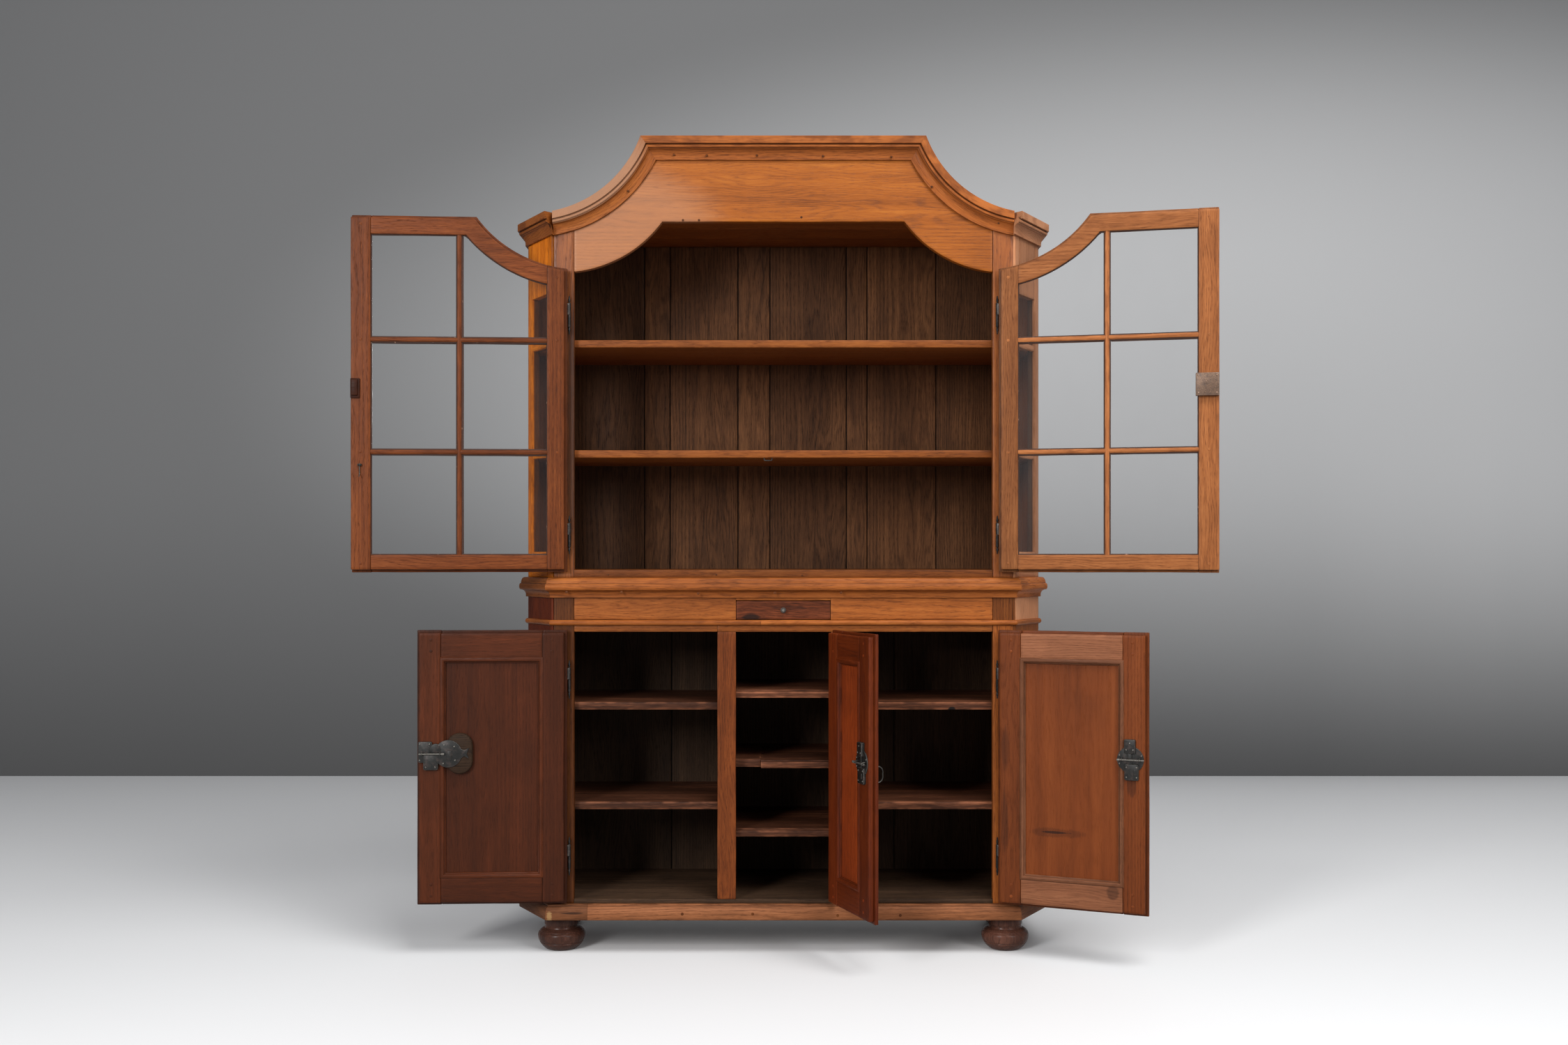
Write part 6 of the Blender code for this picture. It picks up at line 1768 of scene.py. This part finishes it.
# %% Fish-tailed lock of the left door
left_edge = -MUNTIN_OUT + DOOR_LAP
left_place = inner_face("lower_left", left_edge, -1.0, LOCK_CENTRE["lower_left"])
block = Shape()
plate(block, rounded_box(0.064, 0.101, 0.030, (0.107, 0.0)), 0.0045, left_place, 0.004, 0.009, 0.6)
block.make("lower_left_lock_block", DUSK, "lower_left_door", "red_oak")
fish = np.concatenate([
    curve((0.080, 0.0), (0.034, 0.034), 20, 340, 30),
    [(0.119, -0.006), (0.131, -0.012), (0.126, 0.0), (0.131, 0.014), (0.119, 0.009)]])
lock = Shape()
plate(lock, fish, 0.0072, left_place, 0.001)
plate(lock, circle((0.049, 0.010), 0.015, 24), 0.0078, left_place, 0.001)
plate(lock, rounded_box(0.034, 0.052, 0.004, (0.023, 0.004)), 0.0058, left_place, 0.0012)
plate(lock, rounded_box(0.036, 0.038, 0.004, (0.037, -0.021)), 0.0085, left_place, 0.0014)
plate(lock, rounded_box(0.012, 0.024, 0.004, (0.083, -0.004)), 0.0095, left_place, 0.001)
for x in (0.016, 0.060):
    staple(lock, x, left_place)
rivets(lock, [(0.095, 0.018), (0.097, -0.016), (0.070, 0.022), (0.068, -0.024)], 0.0072, left_place)
rivets(lock, [(0.010, 0.024), (0.034, 0.024), (0.010, -0.016)], 0.0058, left_place)
rivets(lock, [(0.025, -0.033), (0.048, -0.033)], 0.0085, left_place)
lock.make("lower_left_lock", IRON, "lower_left_door", "iron")
bolt_rod("lower_left", 0.008, 0.072, left_place)
print("fish-tailed lock on its block")

# %% [markdown]
# The right glazed door has a square lock case whose bolt is a flat tongue. The left one has a
# wooden keeper for it and a wire hook that catches a staple under the lower shelf. The hook is a
# small ring and a straight wire that turns outwards at its end.

# %% Square lock, keeper and hook of the glazed doors
right_place = inner_face("upper_right", MEETING, 1.0, LOCK_CENTRE["upper_right"])
lock = Shape()
plate(lock, rounded_box(0.055, 0.055, 0.002, (0.0285, 0.0)), 0.0140, right_place, 0.0012)
plate(lock, circle((0.033, 0.004), 0.0042, 16), 0.0150, right_place, 0.0005)
plate(lock, rounded_box(0.003, 0.013, 0.0012, (0.033, -0.005)), 0.0148, right_place, 0.0004)
rivets(lock, [(x, y) for x in (0.007, 0.050) for y in (-0.021, 0.021)], 0.0140, right_place)
lock.make("upper_right_lock", GREY_IRON, "upper_right_door", "iron")
tongue = Shape()
plate(tongue, rounded_box(0.030, 0.011, 0.001, (0.0165, 0.0)), 0.0130, right_place, 0.0006, -0.0095)
tongue.make("upper_right_bolt_tongue", IRON, "upper_right_bolt", "iron", "upper_right_bolt")
keeper_place = inner_face("upper_left", -MEETING, -1.0, LOCK_CENTRE["upper_right"])
keeper = Shape()
plate(keeper, rounded_box(0.023, 0.049, 0.0020, (0.0118, 0.0)), 0.0040, keeper_place, 0.0012,
      tone=0.6)
plate(keeper, rounded_box(0.017, 0.041, 0.0030, (0.0100, 0.002)), 0.0088, keeper_place, 0.0026,
      tone=0.7)
keeper.make("upper_left_keeper", UMBER, "upper_left_door", "red_oak")

HOOK_IN = 0.024  # from the meeting edge
HOOK_OUT = 0.004  # its pivot, above the door's inner face
RING_RADIUS, HOOK_LENGTH, HOOK_LIFT = 0.0034, 0.0255, 0.007
BEND_START = 0.72  # the share of its length that is straight
EYELET_HALF = 0.0035
hook_place = inner_face("upper_left", 0.0, -1.0, JOINTS["upper_left_hook_pivot"]["pos_m"][2])
eye_turn = np.linspace(0.0, 2 * math.pi, 14, endpoint=False)
hook = Shape()
ring = np.stack([np.full_like(eye_turn, HOOK_IN), RING_RADIUS * np.sin(eye_turn),
                 HOOK_OUT + RING_RADIUS * np.cos(eye_turn)], axis=-1)
wire(hook, ring, 0.0012, (1.0, 0.0, 0.0), True, hook_place)
drop = np.linspace(0.0, 1.0, 14)
bent = np.clip((drop - BEND_START) / (1.0 - BEND_START), 0.0, 1.0)
bend = np.stack([np.full_like(drop, HOOK_IN), -RING_RADIUS - drop * HOOK_LENGTH,
                 HOOK_OUT + HOOK_LIFT * bent**1.5], axis=-1)
wire(hook, bend, 0.0013, (1.0, 0.0, 0.0), False, hook_place)
hook.make("upper_left_wire_hook", IRON, "upper_left_hook", "iron", "upper_left_hook")
eyelet = Shape()
for x in (HOOK_IN - EYELET_HALF, HOOK_IN + EYELET_HALF):
    plate(eyelet, rounded_box(0.0024, 0.0052, 0.0008, (x, 0.0)), 0.0058, hook_place, 0.0005)
turned(eyelet, [(0.0009, 0.0), (0.0012, 0.0004), (0.0012, 0.0066), (0.0009, 0.007)],
       (HOOK_IN - EYELET_HALF, 0.0, HOOK_OUT), (1.0, 0.0, 0.0), 8, 1.0, hook_place)
eyelet.make("upper_left_hook_eyelet", IRON, "upper_left_door", "iron")
print("square lock, keeper and hook")

# %% [markdown]
# The key stays in the middle door. Its bow is a kidney of thick wire, whose loop is a circle
# pinched where it meets the shank.

# %% Key
KEY_Z = LOCK_CENTRE["lower_middle"] - 0.030
BOW, BOW_SWELL, BOW_PINCH = 0.0115, 0.0045, 0.0050  # radius of the loop and its changes
BOW_OUT = 0.0185  # its middle, in front of the door
key_x = -MIDDLE_HALF - DOOR_LAP + ROUND_LOCK
key_place = swung("lower_middle")
turn = np.linspace(0.0, 2 * math.pi, 40, endpoint=False)
pinch = BOW + BOW_SWELL * np.abs(np.sin(turn)) - BOW_PINCH * np.exp(-((turn - math.pi) / 0.55) ** 2)
bow = np.stack([np.full_like(turn, key_x), DOOR_FRONT - BOW_OUT - pinch * np.cos(turn),
                KEY_Z + 1.18 * pinch * np.sin(turn)], axis=-1)
key = Shape()
wire(key, bow, 0.0016, (1.0, 0.0, 0.0), True, key_place, 0.35)
shank = [(0.0030, 0.0), (0.0032, 0.0015), (0.0022, 0.003), (0.0021, 0.009), (0.0028, 0.0105),
         (0.0015, 0.0125)]
turned(key, shank, (key_x, DOOR_FRONT, KEY_Z), (0.0, -1.0, 0.0), 12, 1.0, key_place,
       [0, 0.4, 0.3, 0.3, 0.6, 0.3])
key.make("lower_middle_key", IRON, "lower_middle_door", "iron")
print("key in the middle door")

# %% [markdown]
# Pegs and nails hold the mouldings. They were read from the photograph as (column, row) pairs and
# are put back on the surface they sit in, by the same camera.


# %% Pegs and nails of the carcase
def seen(column, row, proud=0.0):
    """Place (x, z) on a plane that stands proud of the front face, from a pixel of the photo."""
    scale = PIXEL * (CAMERA_DISTANCE - proud) / CAMERA_DISTANCE
    return (column - CENTRE_COLUMN) * scale, CAMERA_HEIGHT + (HORIZON_ROW - row) * scale


CORNICE_NAILS = ((967, 222), (1014, 223), (1086, 223), (1181, 224), (1279, 225), (1048, 212),
                 (1225, 214), (901, 274), (1337, 268), (1433, 320))
WAIST_PEGS = ((813, 850), (892, 850), (1002, 852), (1112, 851), (1207, 851))
FLOOR_NAILS = ((873, 825), (1028, 825), (1151, 826))
PLINTH_PEGS = ((979, 1312), (1080, 1312), (1202, 1314), (1292, 1314))
ARCH_HOLES = ((980, 316), (1003, 316), (1150, 312))
SHELF_STAPLE = (1102, 660)
CARCASE_PEGS = (  # pixels, how proud they were read, depth, radius, tone and height of their domes
    (CORNICE_NAILS, 0.010, -0.0105, 0.0028, 0.28, 0.001),
    (WAIST_PEGS, 0.020, -0.0205, 0.0032, 0.35, 0.0006),
    (FLOOR_NAILS, 0.0, 0.0, 0.0024, 0.3, 0.0006),
    (PLINTH_PEGS, 0.022, -PLINTH_OUT, 0.0036, 0.4, 0.0006),
    (ARCH_HOLES, 0.0, 0.0, 0.0030, 0.2, 0.0004))
nails = Shape()
for pixels, plane, depth, radius, tone, dome in CARCASE_PEGS:
    pegs(nails, [seen(*pixel, plane) for pixel in pixels], depth, -1.0, standing, radius, tone,
         dome)
nails.make("carcase_pegs", HONEY, "carcase", "honey_oak")
print("pegs and nails:", sum(len(row[0]) for row in CARCASE_PEGS))

# %% [markdown]
# The hook's staple is a bent wire with square shoulders: a half circle divided by a power of its
# larger side, which pushes the curve out towards the corners.

# %% Staple under the lower shelf
STAPLE_HALF, STAPLE_DROP, STAPLE_SUNK, STAPLE_IN = 0.010, 0.0075, 0.001, 0.006
catch = Shape()
catch_x = seen(*SHELF_STAPLE)[0]
catch_top = span("upper_shelf_1", Z)[0] + STAPLE_SUNK
catch_turn = np.linspace(0.0, math.pi, 17)
across, down = np.cos(catch_turn), np.sin(catch_turn)
squared = np.maximum(np.abs(across), np.abs(down)) ** 0.8
hoop = np.stack([catch_x + STAPLE_HALF * across / squared,
                 np.full_like(across, FRAME_DEPTH + STAPLE_IN),
                 catch_top - STAPLE_DROP * down / squared], axis=-1)
wire(catch, hoop, 0.0014, (0.0, 1.0, 0.0), worn=0.1)
catch.make("shelf_staple", IRON, "carcase", "iron")
print("staple under the lower shelf")
